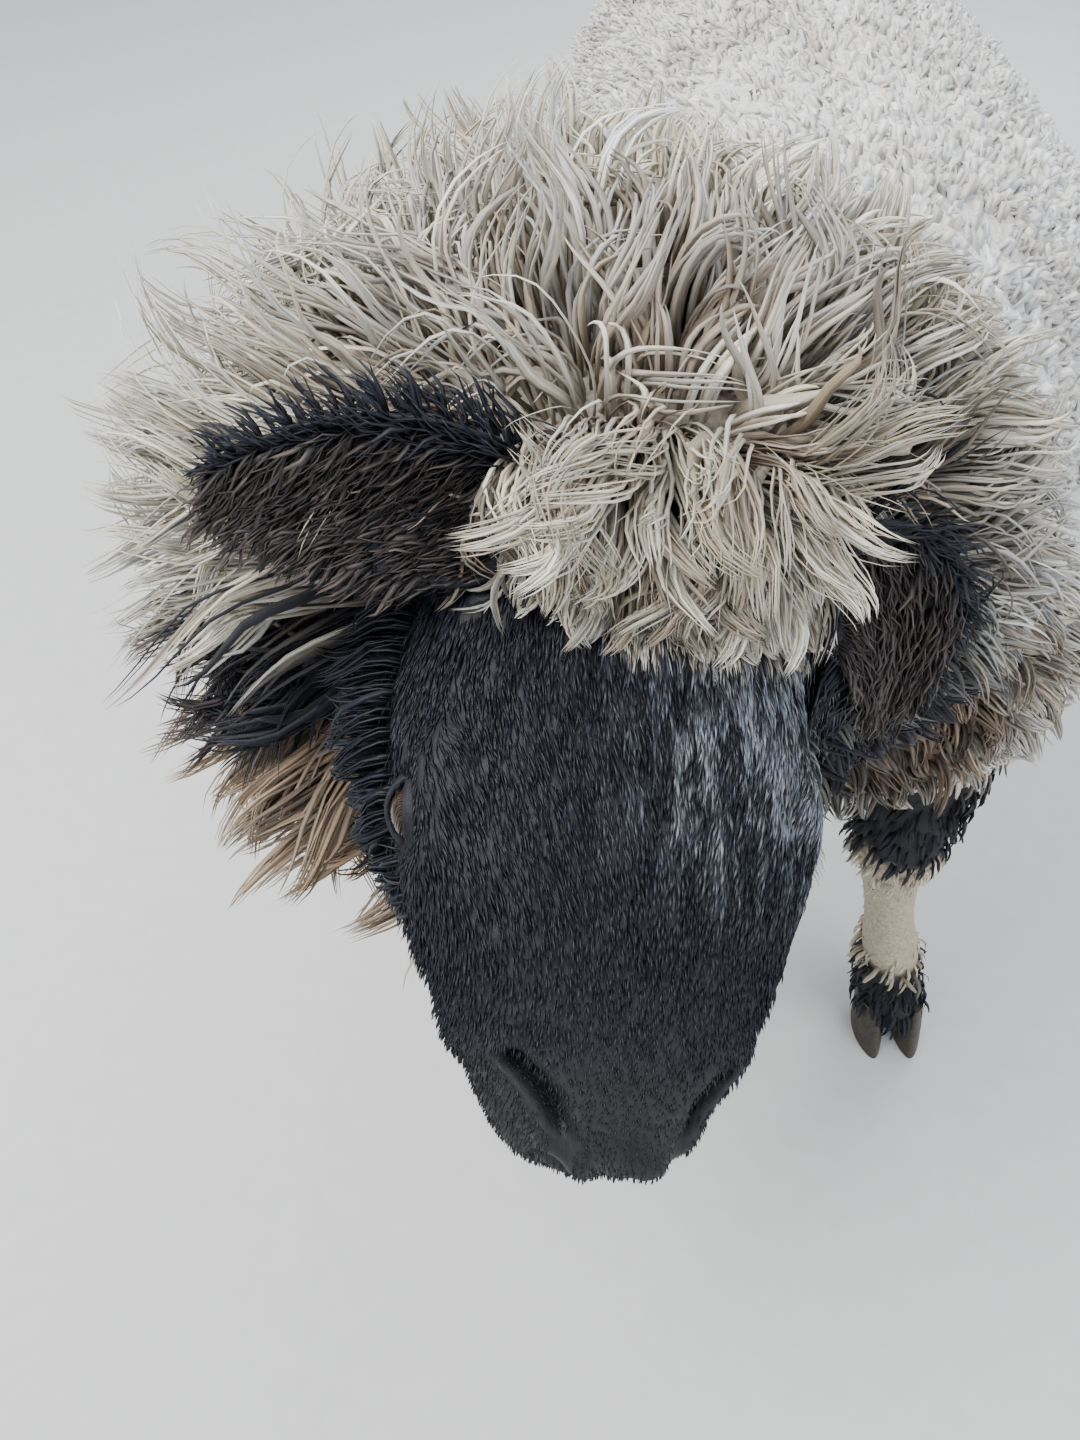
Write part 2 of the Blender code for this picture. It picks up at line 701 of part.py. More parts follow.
def neck_locks(tree, draw):
    """Long locks all round the neck: they stand out beside the head and lie back towards the trunk."""
    forms = []
    rows = smooth_stations([(*middle, w, h) for middle, w, h in NECK], 3)
    for tier, (station, count) in enumerate(NECK_TIERS):
        middle = Vector(rows[station][:3])
        back = (Vector(rows[station - 1][:3]) - Vector(rows[station + 1][:3])).normalized()
        across = back.cross(UP).normalized()
        upward = across.cross(back)
        ahead = tier / (len(NECK_TIERS) - 1)
        for k in range(count):
            angle = 2.0 * math.pi * (k + 0.5 * (tier % 2) + draw.uniform(-0.25, 0.25)) / count
            direction = across * math.cos(angle) + upward * math.sin(angle)
            hit = cast_out(tree, middle + back * draw.uniform(-0.012, 0.012), direction)
            if not hit:
                continue
            place, out = hit
            inside_bend = max(-direction.x, 0.0)
            below = max(-direction.z, 0.0)
            length = draw.uniform(0.092, 0.112) + 0.062 * inside_bend * (0.4 + 0.6 * ahead)
            length += (0.052 if direction.x < 0.0 else -0.020) * below
            fan = direction + UP * (0.35 * direction.z - 0.10)
            lie = back * (0.80 - 0.75 * ahead) + fan * 0.95
            forms.append(wool_lock(place, out, lie, length, draw.uniform(0.030, 0.040), draw,
                                   0.35 + 0.55 * below, 0.55 + 0.35 * ahead))
    return forms


def forelock_core():
    """The low core of the mop over the poll and the forehead."""
    return [ball(HEAD_FRAME.matrix(0.262, 0.006, 0.0, (0.046, 0.038, 0.074)), 18, 10)]


def forelock_locks(tree, draw):
    """The mop between the ears: locks in tiers from the poll down the forehead, fanned to the sides."""
    forms = []
    for s, count, reach in FORELOCK_TIERS:
        for k in range(count):
            share = (k + 0.5 + draw.uniform(-0.25, 0.25)) / count * 2.0 - 1.0
            start = HEAD_FRAME.at(s + draw.uniform(-0.005, 0.005), 0.060, share * 0.045)
            hit = cast_out(tree, start, HEAD_FRAME.turn(0.0, -1.0, 1.0 * share))
            if not hit:
                continue
            lie = HEAD_FRAME.turn(-1.0, 0.15, 0.75 * share)
            forms.append(wool_lock(hit[0], hit[1], lie, reach * draw.uniform(0.9, 1.15),
                                   draw.uniform(0.026, 0.034), draw, 0.20, 1.0))
    return forms


def cheek_locks(tree, draw):
    """Black locks behind the jaw, on both sides of the head."""
    forms = []
    for side in (-1, 1):
        for s, t, reach in CHEEK_TIERS:
            place, out, _, _ = tree.ray_cast(HEAD_FRAME.at(s, t, side * 0.16), -side * HEAD_FRAME.left)
            if place:
                lie = HEAD_FRAME.turn(0.25, 0.75, side * 0.55)
                forms.append(wool_lock(place, out, lie, reach * draw.uniform(0.9, 1.1),
                                       draw.uniform(0.024, 0.030), draw, 0.35, 0.8))
    return forms


def ear_section(side, k):
    """One section of an ear: a point for each place across it, as a function, with its directions."""
    root = HEAD_FRAME.at(EAR_ROOT[0], EAR_ROOT[1], side * EAR_ROOT[2])
    first, last, facing, droop = EAR_HOLD[side]
    step = EAR_LENGTH / (EAR_SECTIONS - 1)
    point = root
    for j in range(k + 1):
        w = (j / (EAR_SECTIONS - 1)) ** droop
        direction = Vector(first).normalized().lerp(Vector(last).normalized(), w).normalized()
        point = point + direction * (step if j else -EAR_SUNK)
    w = k / (EAR_SECTIONS - 1)
    spread = math.sin(math.pi * min(0.10 + 0.86 * w**0.8, 0.985)) ** 0.75
    half = EAR_HALF_WIDTH * spread + 0.003
    curl = 1.25 - 0.75 * w
    inward = Vector(facing)
    inward = (inward - direction * inward.dot(direction)).normalized()
    across = direction.cross(inward).normalized()
    radius = half / math.sin(curl)
    hub = point + inward * (radius * math.cos(curl * 0.5))

    def at(share, rise):
        """Point at that share of the half width, moved out of the cup by rise."""
        ray = across * math.sin(curl * share) - inward * math.cos(curl * share)
        return hub + ray * (radius + rise)
    return at, direction, inward, across


def ear_form(side):
    """Cupped leaf of one ear: a crescent at each section, rolled closer at the root."""
    rings = []
    for k in range(EAR_SECTIONS):
        at = ear_section(side, k)[0]
        thick = EAR_THICKNESS * (1.0 - 0.55 * k / (EAR_SECTIONS - 1))
        outer, inner = [], []
        for j in range(EAR_POINTS):
            share = 2.0 * j / (EAR_POINTS - 1) - 1.0
            half_thick = thick * max(0.5 * math.cos(0.5 * math.pi * share) ** 0.4, 0.25)
            outer.append(at(share, half_thick))
            inner.append(at(share, -half_thick))
        rings.append(outer + inner[::-1])
    return loft(rings)


def ear_locks(side):
    """Long hair along the lower edge and the tip of one ear."""
    draw = random.Random("ear %d" % side)
    forms = []
    for station, shares in EAR_HAIR:
        at, direction, inward, across = ear_section(side, station)
        low = 1.0 if at(1.0, 0.0).z < at(-1.0, 0.0).z else -1.0
        for share in shares:
            root = at(low * share, 0.0) - direction * 0.004
            out = across * low * share - inward * 0.3
            lie = direction + across * low * (0.6 * share)
            length, width = draw.uniform(0.038, 0.056), draw.uniform(0.016, 0.020)
            forms.append(wool_lock(root, out, lie, length, width, draw, 0.7, 0.6, 3))
    return forms


def clear_of_ears(thing):
    """Cuts an object clear of both ears and of their hair."""
    look_name = thing.data.materials[0].name
    for side in (-1, 1):
        forms = [grown(ear_form(side), EAR_CLEARANCE)]
        forms += [grown(form, HAIR_CLEARANCE) for form in ear_locks(side)]
        combine_all(thing, forms, look_name, "DIFFERENCE")
        combine_all(thing, [ear_form(side)] + ear_locks(side), look_name, "DIFFERENCE")


def lid_ring(side):
    """Upper and lower lids: an almond-shaped roll round the eyeball."""
    s, t, u = EYE
    points, count = [], 14
    for k in range(count):
        angle = 2.0 * math.pi * k / count
        ds, dt = LID_LENGTH * math.cos(angle), LID_HEIGHT * math.sin(angle)
        rise = math.sqrt(max(EYE_RADIUS**2 - ds**2 - dt**2, 0.0)) * 0.92
        points.append(HEAD_FRAME.at(s + ds, t + dt, side * (u + rise)))
    form = bmesh.new()
    rows = []
    for k, point in enumerate(points):
        along = (points[(k + 1) % count] - points[k - 1]).normalized()
        out = (point - HEAD_FRAME.at(s, t, side * u)).normalized()
        across = along.cross(out).normalized()
        rows.append([form.verts.new(p) for p in oval(point, across, out, LID * 1.2, LID, 6)])
    for k, row in enumerate(rows):
        after = rows[(k + 1) % count]
        for j in range(6):
            form.faces.new((row[j], row[(j + 1) % 6], after[(j + 1) % 6], after[j]))
    bmesh.ops.recalc_face_normals(form, faces=form.faces)
    if form.calc_volume(signed=True) < 0.0:
        bmesh.ops.reverse_faces(form, faces=form.faces)
    return form


def mouth_tube(tree):
    """Cutter for the line of the mouth, from one corner round the front to the other."""
    left = []
    for s, t in MOUTH_LINE:
        start = HEAD_FRAME.at(s, t, 0.120)
        hit = tree.ray_cast(start, -HEAD_FRAME.left, 0.14)
        left.append(hit[0])
    front = tree.ray_cast(HEAD_FRAME.at(-0.08, MOUTH_LINE[0][1] - 0.001, 0.0), HEAD_FRAME.back, 0.2)[0]
    right = []
    for s, t in MOUTH_LINE:
        start = HEAD_FRAME.at(s, t, -0.120)
        right.append(tree.ray_cast(start, HEAD_FRAME.left, 0.14)[0])
    points = right[::-1] + [front] + left
    radii = [MOUTH_WIDTH * (0.6 if k in (0, len(points) - 1) else 1.0) for k in range(len(points))]
    return tube(points, radii, 6)


def nostril_tube(tree, side):
    """Cutter for one comma-shaped nostril."""
    points = [tree.find_nearest(HEAD_FRAME.at(s, t, side * u))[0] for s, t, u, _ in NOSTRIL]
    return tube(points, [radius for _, _, _, radius in NOSTRIL], 7)


def under_mop(point):
    """Whether a point of the head lies under the mop, where the skin is white."""
    s, t, _ = HEAD_FRAME.place_of(point)
    return s > MOP_START[0] and t < MOP_START[1]


def make_head():
    """Head with lips, nostrils, mouth, lids and the mop of wool on the poll."""
    draw = random.Random("head")
    head = dress(fuse_soft("head", head_forms(), 0.0030, 6, 2000, PARTS), "black_hair")
    combine(head, head_zone(-GAP), "INTERSECT")
    paint(head, "long_wool", under_mop)
    bare = surface_of(head)
    cuts = [mouth_tube(bare), nostril_tube(bare, -1), nostril_tube(bare, 1)]
    for side in (-1, 1):
        s, t, u = EYE
        pit = HEAD_FRAME.matrix(s, t, side * (u + 0.0175), (0.0165, 0.0120, 0.0095))
        cuts.append(ball(pit, 12, 8))
    for form in cuts:
        combine(head, form, "DIFFERENCE")
    unite(head, [lid_ring(-1), lid_ring(1)], "black_hair")
    unite(head, cheek_locks(surface_of(head), draw), "black_hair")
    unite(head, forelock_core(), "long_wool")
    unite(head, forelock_locks(surface_of(head), draw), "long_wool")
    thin_out(head, FACES["head"])
    for side in (-1, 1):
        s, t, u = EYE
        socket = HEAD_FRAME.matrix(s, t, side * u, (EYE_RADIUS + GAP,) * 3)
        combine(head, ball(socket, 12, 8), "DIFFERENCE")
    clear_of_ears(head)
    combine(head, head_zone(-GAP / 2), "INTERSECT")
    return finish(head)


def make_eye(side, name):
    s, t, u = EYE
    place = HEAD_FRAME.matrix(s, t, side * u, (EYE_RADIUS,) * 3)
    return finish(dress(add_object(name, ball(place, 12, 8), PARTS), "eye"))


def make_ear(side, name):
    ear = dress(add_object(name, ear_form(side), PARTS), "black_hair")
    unite(ear, ear_locks(side), "black_hair")
    return finish(ear)


def make_neck(skin):
    """Neck with its ruff of long locks, between the trunk and the block that holds the head."""
    draw = random.Random("neck")
    neck = dress(as_copy("neck", skin, PARTS), "long_wool")
    unite(neck, neck_locks(surface_of(skin), draw), "long_wool")
    top, normal = neck_cut()
    keep_side(neck, top, -normal)
    for side in (-1, 1):
        combine(neck, leg_block("front", side, GAP), "DIFFERENCE")
    keep_largest(neck)
    thin_out(neck, FACES["neck"])
    keep_side(neck, top - normal * GAP, -normal)
    combine(neck, head_zone(GAP / 2), "DIFFERENCE")
    clear_of_ears(neck)
    for side in (-1, 1):
        combine(neck, leg_block("front", side, 2.0 * GAP), "DIFFERENCE")
    return finish(neck)


def make_torso(skin):
    """Trunk covered with close clumps, from the neck back to the root of the tail."""
    draw = random.Random("torso")
    torso = dress(as_copy("torso", skin, PARTS), "shorn_fleece")
    unite(torso, trunk_clumps(surface_of(skin), draw), "shorn_fleece")
    for shrink in (-0.010, 0.0):
        top, normal = neck_cut()
        keep_side(torso, top + normal * shrink, normal)
        keep_side(torso, Vector((0.0, TRUNK_BACK - shrink, 0.5)), (0.0, -1.0, 0.0))
        for which in LEG_SPAN:
            for side in (-1, 1):
                combine(torso, leg_block(which, side, GAP / 2 + shrink), "DIFFERENCE")
        if shrink:
            keep_largest(torso)
            thin_out(torso, FACES["torso"])
    return finish(torso)


def make_tail(skin):
    """Woolly tail hanging from the rump."""
    draw = random.Random("tail")
    tail = dress(as_copy("tail", skin, PARTS), "long_wool")
    back = Vector((0.0, TRUNK_BACK, 0.5))
    keep_side(tail, back, (0.0, 1.0, 0.0))
    tree = surface_of(tail)
    forms = []
    for height, count in ((0.655, 4), (0.580, 6), (0.500, 6), (0.430, 6)):
        for k in range(count):
            angle = 2.0 * math.pi * (k + draw.uniform(-0.2, 0.2)) / count
            direction = Vector((math.cos(angle), math.sin(angle), 0.0))
            if direction.y < -0.6:
                continue
            hit = cast_out(tree, Vector((0.0, 0.518, height)), direction)
            if hit:
                forms.append(wool_lock(hit[0], hit[1], -UP, draw.uniform(0.075, 0.100), 0.034, draw,
                                       0.5, 0.45))
    unite(tail, forms, "long_wool")
    thin_out(tail, FACES["tail"])
    keep_side(tail, back, (0.0, 1.0, 0.0))
    return finish(tail)


def leg_locks(tree, which, side, tiers, draw):
    """Shaggy hair of a leg in tiers, hanging down over the thigh, knee, hock or fetlock."""
    rows = (FRONT_LEG if which == "front" else HIND_LEG)[::-1]
    forms = []
    heights = [row[0] for row in rows]
    for tier, (z, count, length, width) in enumerate(tiers):
        x = side * float(np.interp(z, heights, [row[1] for row in rows]))
        y = float(np.interp(z, heights, [row[2] for row in rows]))
        for k in range(count):
            angle = 2.0 * math.pi * (k + 0.5 * (tier % 2) + draw.uniform(-0.15, 0.15)) / count
            direction = Vector((math.cos(angle), math.sin(angle), 0.0))
            hit = cast_out(tree, Vector((x, y, z)), direction)
            if hit:
                forms.append(wool_lock(hit[0], hit[1], -UP, length * draw.uniform(0.85, 1.1),
                                       width * draw.uniform(0.9, 1.1), draw, 0.5, 0.45, 3))
    return forms


def make_leg(skin, which, side, name):
    """Upper and lower part of one leg, parted below the knee or hock, and cut above the hooves."""
    draw = random.Random(name)
    leg = dress(as_copy(name, skin, PARTS), "leg_wool")
    knee_low, knee_high = KNEE_PATCH[which]
    paint(leg, "black_hair", lambda point: knee_low < point.z < knee_high or point.z < FOOT_PATCH)
    combine(leg, leg_block(which, side, 0.008), "INTERSECT")
    keep_largest(leg)
    tree = surface_of(leg)
    split = Vector((0.0, 0.0, KNEE_HEIGHT[which]))
    hoof_point, hoof_normal = hoof_cut(which)
    upper = as_copy(name + "_upper", leg, PARTS)
    unite(upper, leg_locks(tree, which, side, THIGH_LOCKS, draw), "leg_wool")
    unite(upper, leg_locks(tree, which, side, KNEE_LOCKS, draw), "black_hair")
    keep_side(upper, split - UP * 0.008, UP)
    thin_out(keep_largest(upper), FACES["upper_leg"])
    combine(upper, leg_block(which, side, -GAP / 2), "INTERSECT")
    keep_side(upper, split, UP)
    finish(upper)
    lower = as_copy(name + "_lower", leg, PARTS)
    unite(lower, leg_locks(tree, which, side, FOOT_LOCKS, draw), "black_hair")
    keep_side(lower, split + UP * 0.008, -UP)
    keep_side(lower, hoof_point - hoof_normal * 0.004, hoof_normal)
    thin_out(keep_largest(lower), FACES["lower_leg"])
    keep_side(lower, split, -UP)
    keep_side(lower, hoof_point, hoof_normal)
    finish(lower)
    remove_object(leg)


def hoof_middle(which):
    """Middle of a hoof's sole, as distance out and place along the body."""
    row = (FRONT_LEG if which == "front" else HIND_LEG)[-1]
    return row[1], row[2] - 0.012


def hoof_cut(which):
    """The sloping plane along the top of a hoof: a point and the normal up to the leg."""
    y = hoof_middle(which)[1]
    toe = Vector((0.0, y - 0.5 * CLAW_LENGTH, HOOF_TOE_HEIGHT))
    heel = Vector((0.0, y + 0.5 * CLAW_LENGTH, HOOF_HEEL_HEIGHT))
    normal = Vector((1.0, 0.0, 0.0)).cross(heel - toe).normalized()
    return toe, normal if normal.z > 0.0 else -normal


def make_claw(which, side, outer, name):
    """One of the two claws of a hoof: a flat sole, a sloping wall and a point at the toe."""
    x, y = hoof_middle(which)
    middle = side * x + outer * side * 0.5 * (CLAW_WIDTH + CLAW_SPACE)
    rings = []
    for height, scale in ((0.0, 1.0), (0.020, 0.97), (0.056, 0.82)):
        shift = CLAW_SLOPE * height / HOOF_TOE_HEIGHT
        ring = []
        for k in range(CLAW_SIDES):
            angle = 2.0 * math.pi * k / CLAW_SIDES
            along, across = math.cos(angle), math.sin(angle)
            narrow = 1.0 - 0.30 * max(-along, 0.0) ** 2
            flat = 0.80 if across * outer * side < 0.0 else 1.0
            ring.append(Vector((middle + 0.5 * CLAW_WIDTH * across * flat * narrow * scale,
                                y + shift + 0.5 * CLAW_LENGTH * along * scale, height)))
        rings.append(ring)
    claw = dress(add_object(name, loft(rings), PARTS), "hoof_horn")
    point, normal = hoof_cut(which)
    keep_side(claw, point, -normal)
    return finish(claw)


def centre_on_floor(things):
    """Moves the meshes so that the middle of their common box stands on the origin."""
    points = np.array([tuple(v.co) for thing in things for v in thing.data.vertices])
    low, high = points.min(axis=0), points.max(axis=0)
    shift = Matrix.Translation((-0.5 * (low[0] + high[0]), -0.5 * (low[1] + high[1]), 0.0))
    for thing in things:
        thing.data.transform(shift)


def build_sheep():
    for side, word in ((1, "left"), (-1, "right")):
        make_eye(side, "eye_" + word)
        make_ear(side, "ear_" + word)
    make_head()
    forms = trunk_forms() + [tail_form()]
    for side in (-1, 1):
        forms += [leg_form(FRONT_LEG, side), leg_form(HIND_LEG, side)]
    skin = fuse_soft("skin", forms, 0.0075, 5, 4600, CUTTERS)
    make_neck(skin)
    make_torso(skin)
    make_tail(skin)
    for side, word in ((1, "left"), (-1, "right")):
        for which in LEG_SPAN:
            make_leg(skin, which, side, "%s_%s_leg" % (which, word))
            make_claw(which, side, 1, "%s_%s_hoof_outer" % (which, word))
            make_claw(which, side, -1, "%s_%s_hoof_inner" % (which, word))
    remove_object(skin)
    centre_on_floor(list(PARTS.objects))


remove_everything()
PARTS = bpy.data.collections.new("valais_blacknose_sheep")
CUTTERS = bpy.data.collections.new("cutters")
bpy.context.scene.collection.children.link(PARTS)
bpy.context.scene.collection.children.link(CUTTERS)
build_sheep()
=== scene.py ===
"""Looks of the Valais Blacknose ewe: one skin with its coat of tufts, eyes, hooves, light and camera.

Sizes are in metres in the sheep's own frame, with the middle of its trunk at x = y = 0. The sheep
faces -Y, its left is +X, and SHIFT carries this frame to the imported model's.
"""
import math

import bmesh
import bpy
import numpy as np
from mathutils import Matrix, Vector
from mathutils.bvhtree import BVHTree
from mathutils.kdtree import KDTree


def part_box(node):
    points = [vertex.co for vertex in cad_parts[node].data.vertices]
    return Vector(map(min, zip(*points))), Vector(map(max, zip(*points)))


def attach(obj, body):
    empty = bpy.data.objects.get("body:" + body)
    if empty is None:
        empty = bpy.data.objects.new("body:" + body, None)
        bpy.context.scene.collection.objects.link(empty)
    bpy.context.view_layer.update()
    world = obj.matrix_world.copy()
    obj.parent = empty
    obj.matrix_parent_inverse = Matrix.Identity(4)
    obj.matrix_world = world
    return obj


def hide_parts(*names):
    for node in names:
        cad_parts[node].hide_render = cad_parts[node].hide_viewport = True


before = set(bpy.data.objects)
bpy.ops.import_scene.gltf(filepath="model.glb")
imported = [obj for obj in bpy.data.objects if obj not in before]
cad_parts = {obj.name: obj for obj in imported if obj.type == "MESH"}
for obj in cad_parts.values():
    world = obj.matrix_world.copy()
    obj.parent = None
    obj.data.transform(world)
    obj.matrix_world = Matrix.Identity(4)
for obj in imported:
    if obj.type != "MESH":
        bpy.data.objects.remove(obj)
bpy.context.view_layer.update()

UP = Vector((0.0, 0.0, 1.0))

# Trunk: place along the spine, height of the middle, half width, half height
TRUNK = [
    (-0.370, 0.545, 0.080, 0.090),
    (-0.335, 0.555, 0.128, 0.138),
    (-0.265, 0.570, 0.168, 0.176),
    (-0.170, 0.580, 0.192, 0.190),
    (-0.030, 0.582, 0.212, 0.194),
    (0.110, 0.580, 0.222, 0.196),
    (0.240, 0.588, 0.214, 0.188),
    (0.345, 0.602, 0.192, 0.174),
    (0.415, 0.612, 0.156, 0.148),
    (0.455, 0.618, 0.096, 0.098),
]
TRUNK_BACK = 0.4685
NECK = [
    ((-0.010, -0.130, 0.600), 0.165, 0.178),
    ((-0.060, -0.235, 0.628), 0.168, 0.172),
    ((-0.130, -0.320, 0.655), 0.172, 0.158),
    ((-0.165, -0.385, 0.680), 0.157, 0.140),
    ((-0.174, -0.432, 0.698), 0.120, 0.114),
    ((-0.180, -0.462, 0.706), 0.086, 0.082),
    ((-0.182, -0.486, 0.708), 0.046, 0.044),
]
NECK_CUT_TOP = (-0.185, 0.790)
NECK_CUT_BOTTOM = (-0.375, 0.430)

# Head: s runs back along the nose from the lips, t down from the line of the nose, u to the left
LIPS = Vector((-0.192, -0.660, 0.602))
LIPS_DEPTH = 0.040
HEAD_YAW = math.radians(5.0)
HEAD_SLOPE = math.radians(29.0)
HEAD_ROLL = math.radians(20.0)
HEAD = [
    (0.000, 0.026, 0.054, 0.020),
    (0.006, 0.012, 0.062, 0.036),
    (0.018, 0.003, 0.068, 0.047),
    (0.038, 0.000, 0.073, 0.0570),
    (0.060, -0.004, 0.078, 0.0635),
    (0.084, -0.007, 0.088, 0.0745),
    (0.106, -0.009, 0.100, 0.0835),
    (0.130, -0.009, 0.113, 0.0885),
    (0.155, -0.007, 0.122, 0.0900),
    (0.180, -0.004, 0.126, 0.0890),
    (0.205, 0.000, 0.124, 0.0850),
    (0.235, 0.006, 0.118, 0.0780),
    (0.265, 0.012, 0.112, 0.0720),
    (0.295, 0.018, 0.106, 0.0680),
    (0.318, 0.024, 0.100, 0.0600),
]
FACE_PADS = [
    ((0.022, 0.042, 0.024), (0.025, 0.020, 0.025)),
    ((0.020, 0.016, 0.016), (0.020, 0.014, 0.018)),
    ((0.026, 0.066, 0.010), (0.022, 0.010, 0.020)),
    ((0.138, 0.024, 0.064), (0.030, 0.016, 0.019)),
    ((0.118, 0.054, 0.068), (0.030, 0.012, 0.014)),
    ((0.165, 0.086, 0.050), (0.036, 0.034, 0.026)),
]
HEAD_BLOCK = ((0.318, -0.115), (0.186, 0.160), 0.116)
MOP_START = (0.198, 0.050)
MOP_CORE = ((0.262, 0.010, 0.0), (0.040, 0.030, 0.066))

# Eye: middle as (s, t, u), radius of the ball, and the almond of the open lids
EYE = (0.127, 0.040, 0.0745)
EYE_RADIUS = 0.0135
EYE_AXIS = (-0.30, -0.14, 0.94)
LID_HALF = 0.0122
LID_UPPER = 0.0072
LID_LOWER = 0.0058
# Section of a lid: how far out from the edge, as a share of LID_REACH, and the height over the ball
LID_REACH = 1.45
LID_PROFILE = [(1.00, -0.0010), (0.55, 0.0000), (0.16, 0.0002), (0.02, 0.0003), (-0.03, 0.0011),
               (0.00, 0.0021), (0.10, 0.0027), (0.24, 0.0026), (0.36, 0.0031), (0.55, 0.0034),
               (0.80, 0.0028), (1.00, 0.0016)]
MOUTH_LINE = [(-0.004, 0.047, 0.000), (0.000, 0.049, 0.016), (0.006, 0.053, 0.030), (0.022, 0.057, 0.042),
              (0.040, 0.060, 0.051), (0.056, 0.058, 0.058)]
NOSTRIL = [(0.010, 0.021, 0.014), (0.017, 0.013, 0.021), (0.027, 0.007, 0.031), (0.039, 0.011, 0.041)]
# Lines pressed into the face or raised on it: rise, width, and the line's places
FACE_FOLDS = [
    (-0.0014, 0.0080, ((0.112, 0.046, 0.09), (0.096, 0.049, 0.09), (0.080, 0.050, 0.08))),
    (-0.0016, 0.0030, ((0.104, 0.062, 0.09), (0.124, 0.068, 0.10), (0.146, 0.062, 0.10))),
    (0.0022, 0.0090, ((0.112, 0.018, 0.08), (0.130, 0.014, 0.09), (0.150, 0.022, 0.10))),
    (0.0022, 0.0080, ((0.072, 0.056, 0.08), (0.100, 0.074, 0.09), (0.150, 0.094, 0.10))),
]

# Ears: how each is held, as direction at the root and tip, where the cup faces, and the droop
EAR_LENGTH = 0.118
EAR_HALF_WIDTH = 0.029
EAR_THICKNESS = 0.008
EAR_ROOT = (0.240, 0.008, 0.064)
EAR_SUNK = 0.014
EAR_HOLD = {
    1: ((0.64, -0.05, 0.74), (0.06, -0.02, -1.00), (0.38, -0.92, 0.10), 0.58),
    -1: ((-0.90, -0.06, 0.44), (-0.95, -0.10, -0.06), (0.05, -0.90, 0.25), 1.0),
}

# Legs: height, distance out from the middle, place along the body, half width, half depth
FRONT_LEG = [
    (0.500, 0.100, -0.225, 0.060, 0.085),
    (0.425, 0.104, -0.242, 0.053, 0.068),
    (0.365, 0.100, -0.258, 0.045, 0.054),
    (0.315, 0.093, -0.268, 0.041, 0.046),
    (0.280, 0.090, -0.274, 0.042, 0.045),
    (0.240, 0.094, -0.275, 0.034, 0.037),
    (0.200, 0.101, -0.276, 0.028, 0.031),
    (0.150, 0.112, -0.279, 0.026, 0.029),
    (0.105, 0.123, -0.284, 0.030, 0.033),
    (0.075, 0.129, -0.294, 0.029, 0.032),
    (0.050, 0.133, -0.302, 0.032, 0.036),
    (0.020, 0.135, -0.310, 0.028, 0.030),
]
HIND_LEG = [
    (0.590, 0.112, 0.310, 0.072, 0.125),
    (0.500, 0.126, 0.312, 0.068, 0.112),
    (0.430, 0.126, 0.325, 0.060, 0.088),
    (0.370, 0.121, 0.358, 0.048, 0.063),
    (0.320, 0.116, 0.394, 0.040, 0.052),
    (0.280, 0.113, 0.420, 0.037, 0.050),
    (0.235, 0.113, 0.420, 0.031, 0.039),
    (0.160, 0.115, 0.408, 0.027, 0.031),
    (0.105, 0.118, 0.398, 0.031, 0.034),
    (0.075, 0.120, 0.387, 0.029, 0.032),
    (0.050, 0.121, 0.378, 0.032, 0.036),
    (0.020, 0.122, 0.370, 0.028, 0.030),
]
LEG_SPAN = {"front": (-0.400, -0.140), "hind": (0.205, 0.540)}
LEG_CUT_HEIGHT = 0.355
LEG_CUT_RISE = 0.55
KNEE_PATCH = {"front": (0.276, 0.385), "hind": (0.258, 0.375)}
FOOT_PATCH = 0.098
CLAW_LENGTH = 0.066
CLAW_WIDTH = 0.031
CLAW_SPACE = 0.004
HOOF_TOE_HEIGHT = 0.046
HOOF_HEEL_HEIGHT = 0.030
CLAW_SLOPE = 0.020
TAIL = [
    ((0.0, 0.440, 0.690), 0.040),
    ((0.0, 0.480, 0.680), 0.042),
    ((0.0, 0.512, 0.640), 0.043),
    ((0.0, 0.520, 0.560), 0.045),
    ((0.0, 0.520, 0.470), 0.044),
    ((0.0, 0.518, 0.390), 0.036),
    ((0.0, 0.516, 0.345), 0.020),
]

# How far the skin lies under the solids' own core, and the size of its mesh
SKIN_DEPTH = 0.003
BODY_VOXEL = 0.0070
HEAD_VOXEL = 0.0019

# Camera, lamps as name, place, power, size and colour, and floor
CAMERA_PLACE = (-0.21, -0.80, 1.02)
CAMERA_TILT = math.radians(41.0)
CAMERA_LENS = 27.05
LAMPS = [
    ("key", (-1.6, -0.6, 2.9), 150.0, 1.8, (1.0, 0.98, 0.95)),
    ("fill", (2.4, -2.2, 1.8), 65.0, 2.2, (0.93, 0.96, 1.0)),
    ("back", (1.2, 2.6, 2.4), 90.0, 1.8, (0.96, 0.98, 1.0)),
]
LAMPS_AIM = (0.0, -0.1, 0.5)
SKY = ((0.80, 0.86, 0.95, 1.0), 1.05)
FLOOR_HALF = 9.0
FLOOR_COLOUR = (0.60, 0.60, 0.585, 1.0)

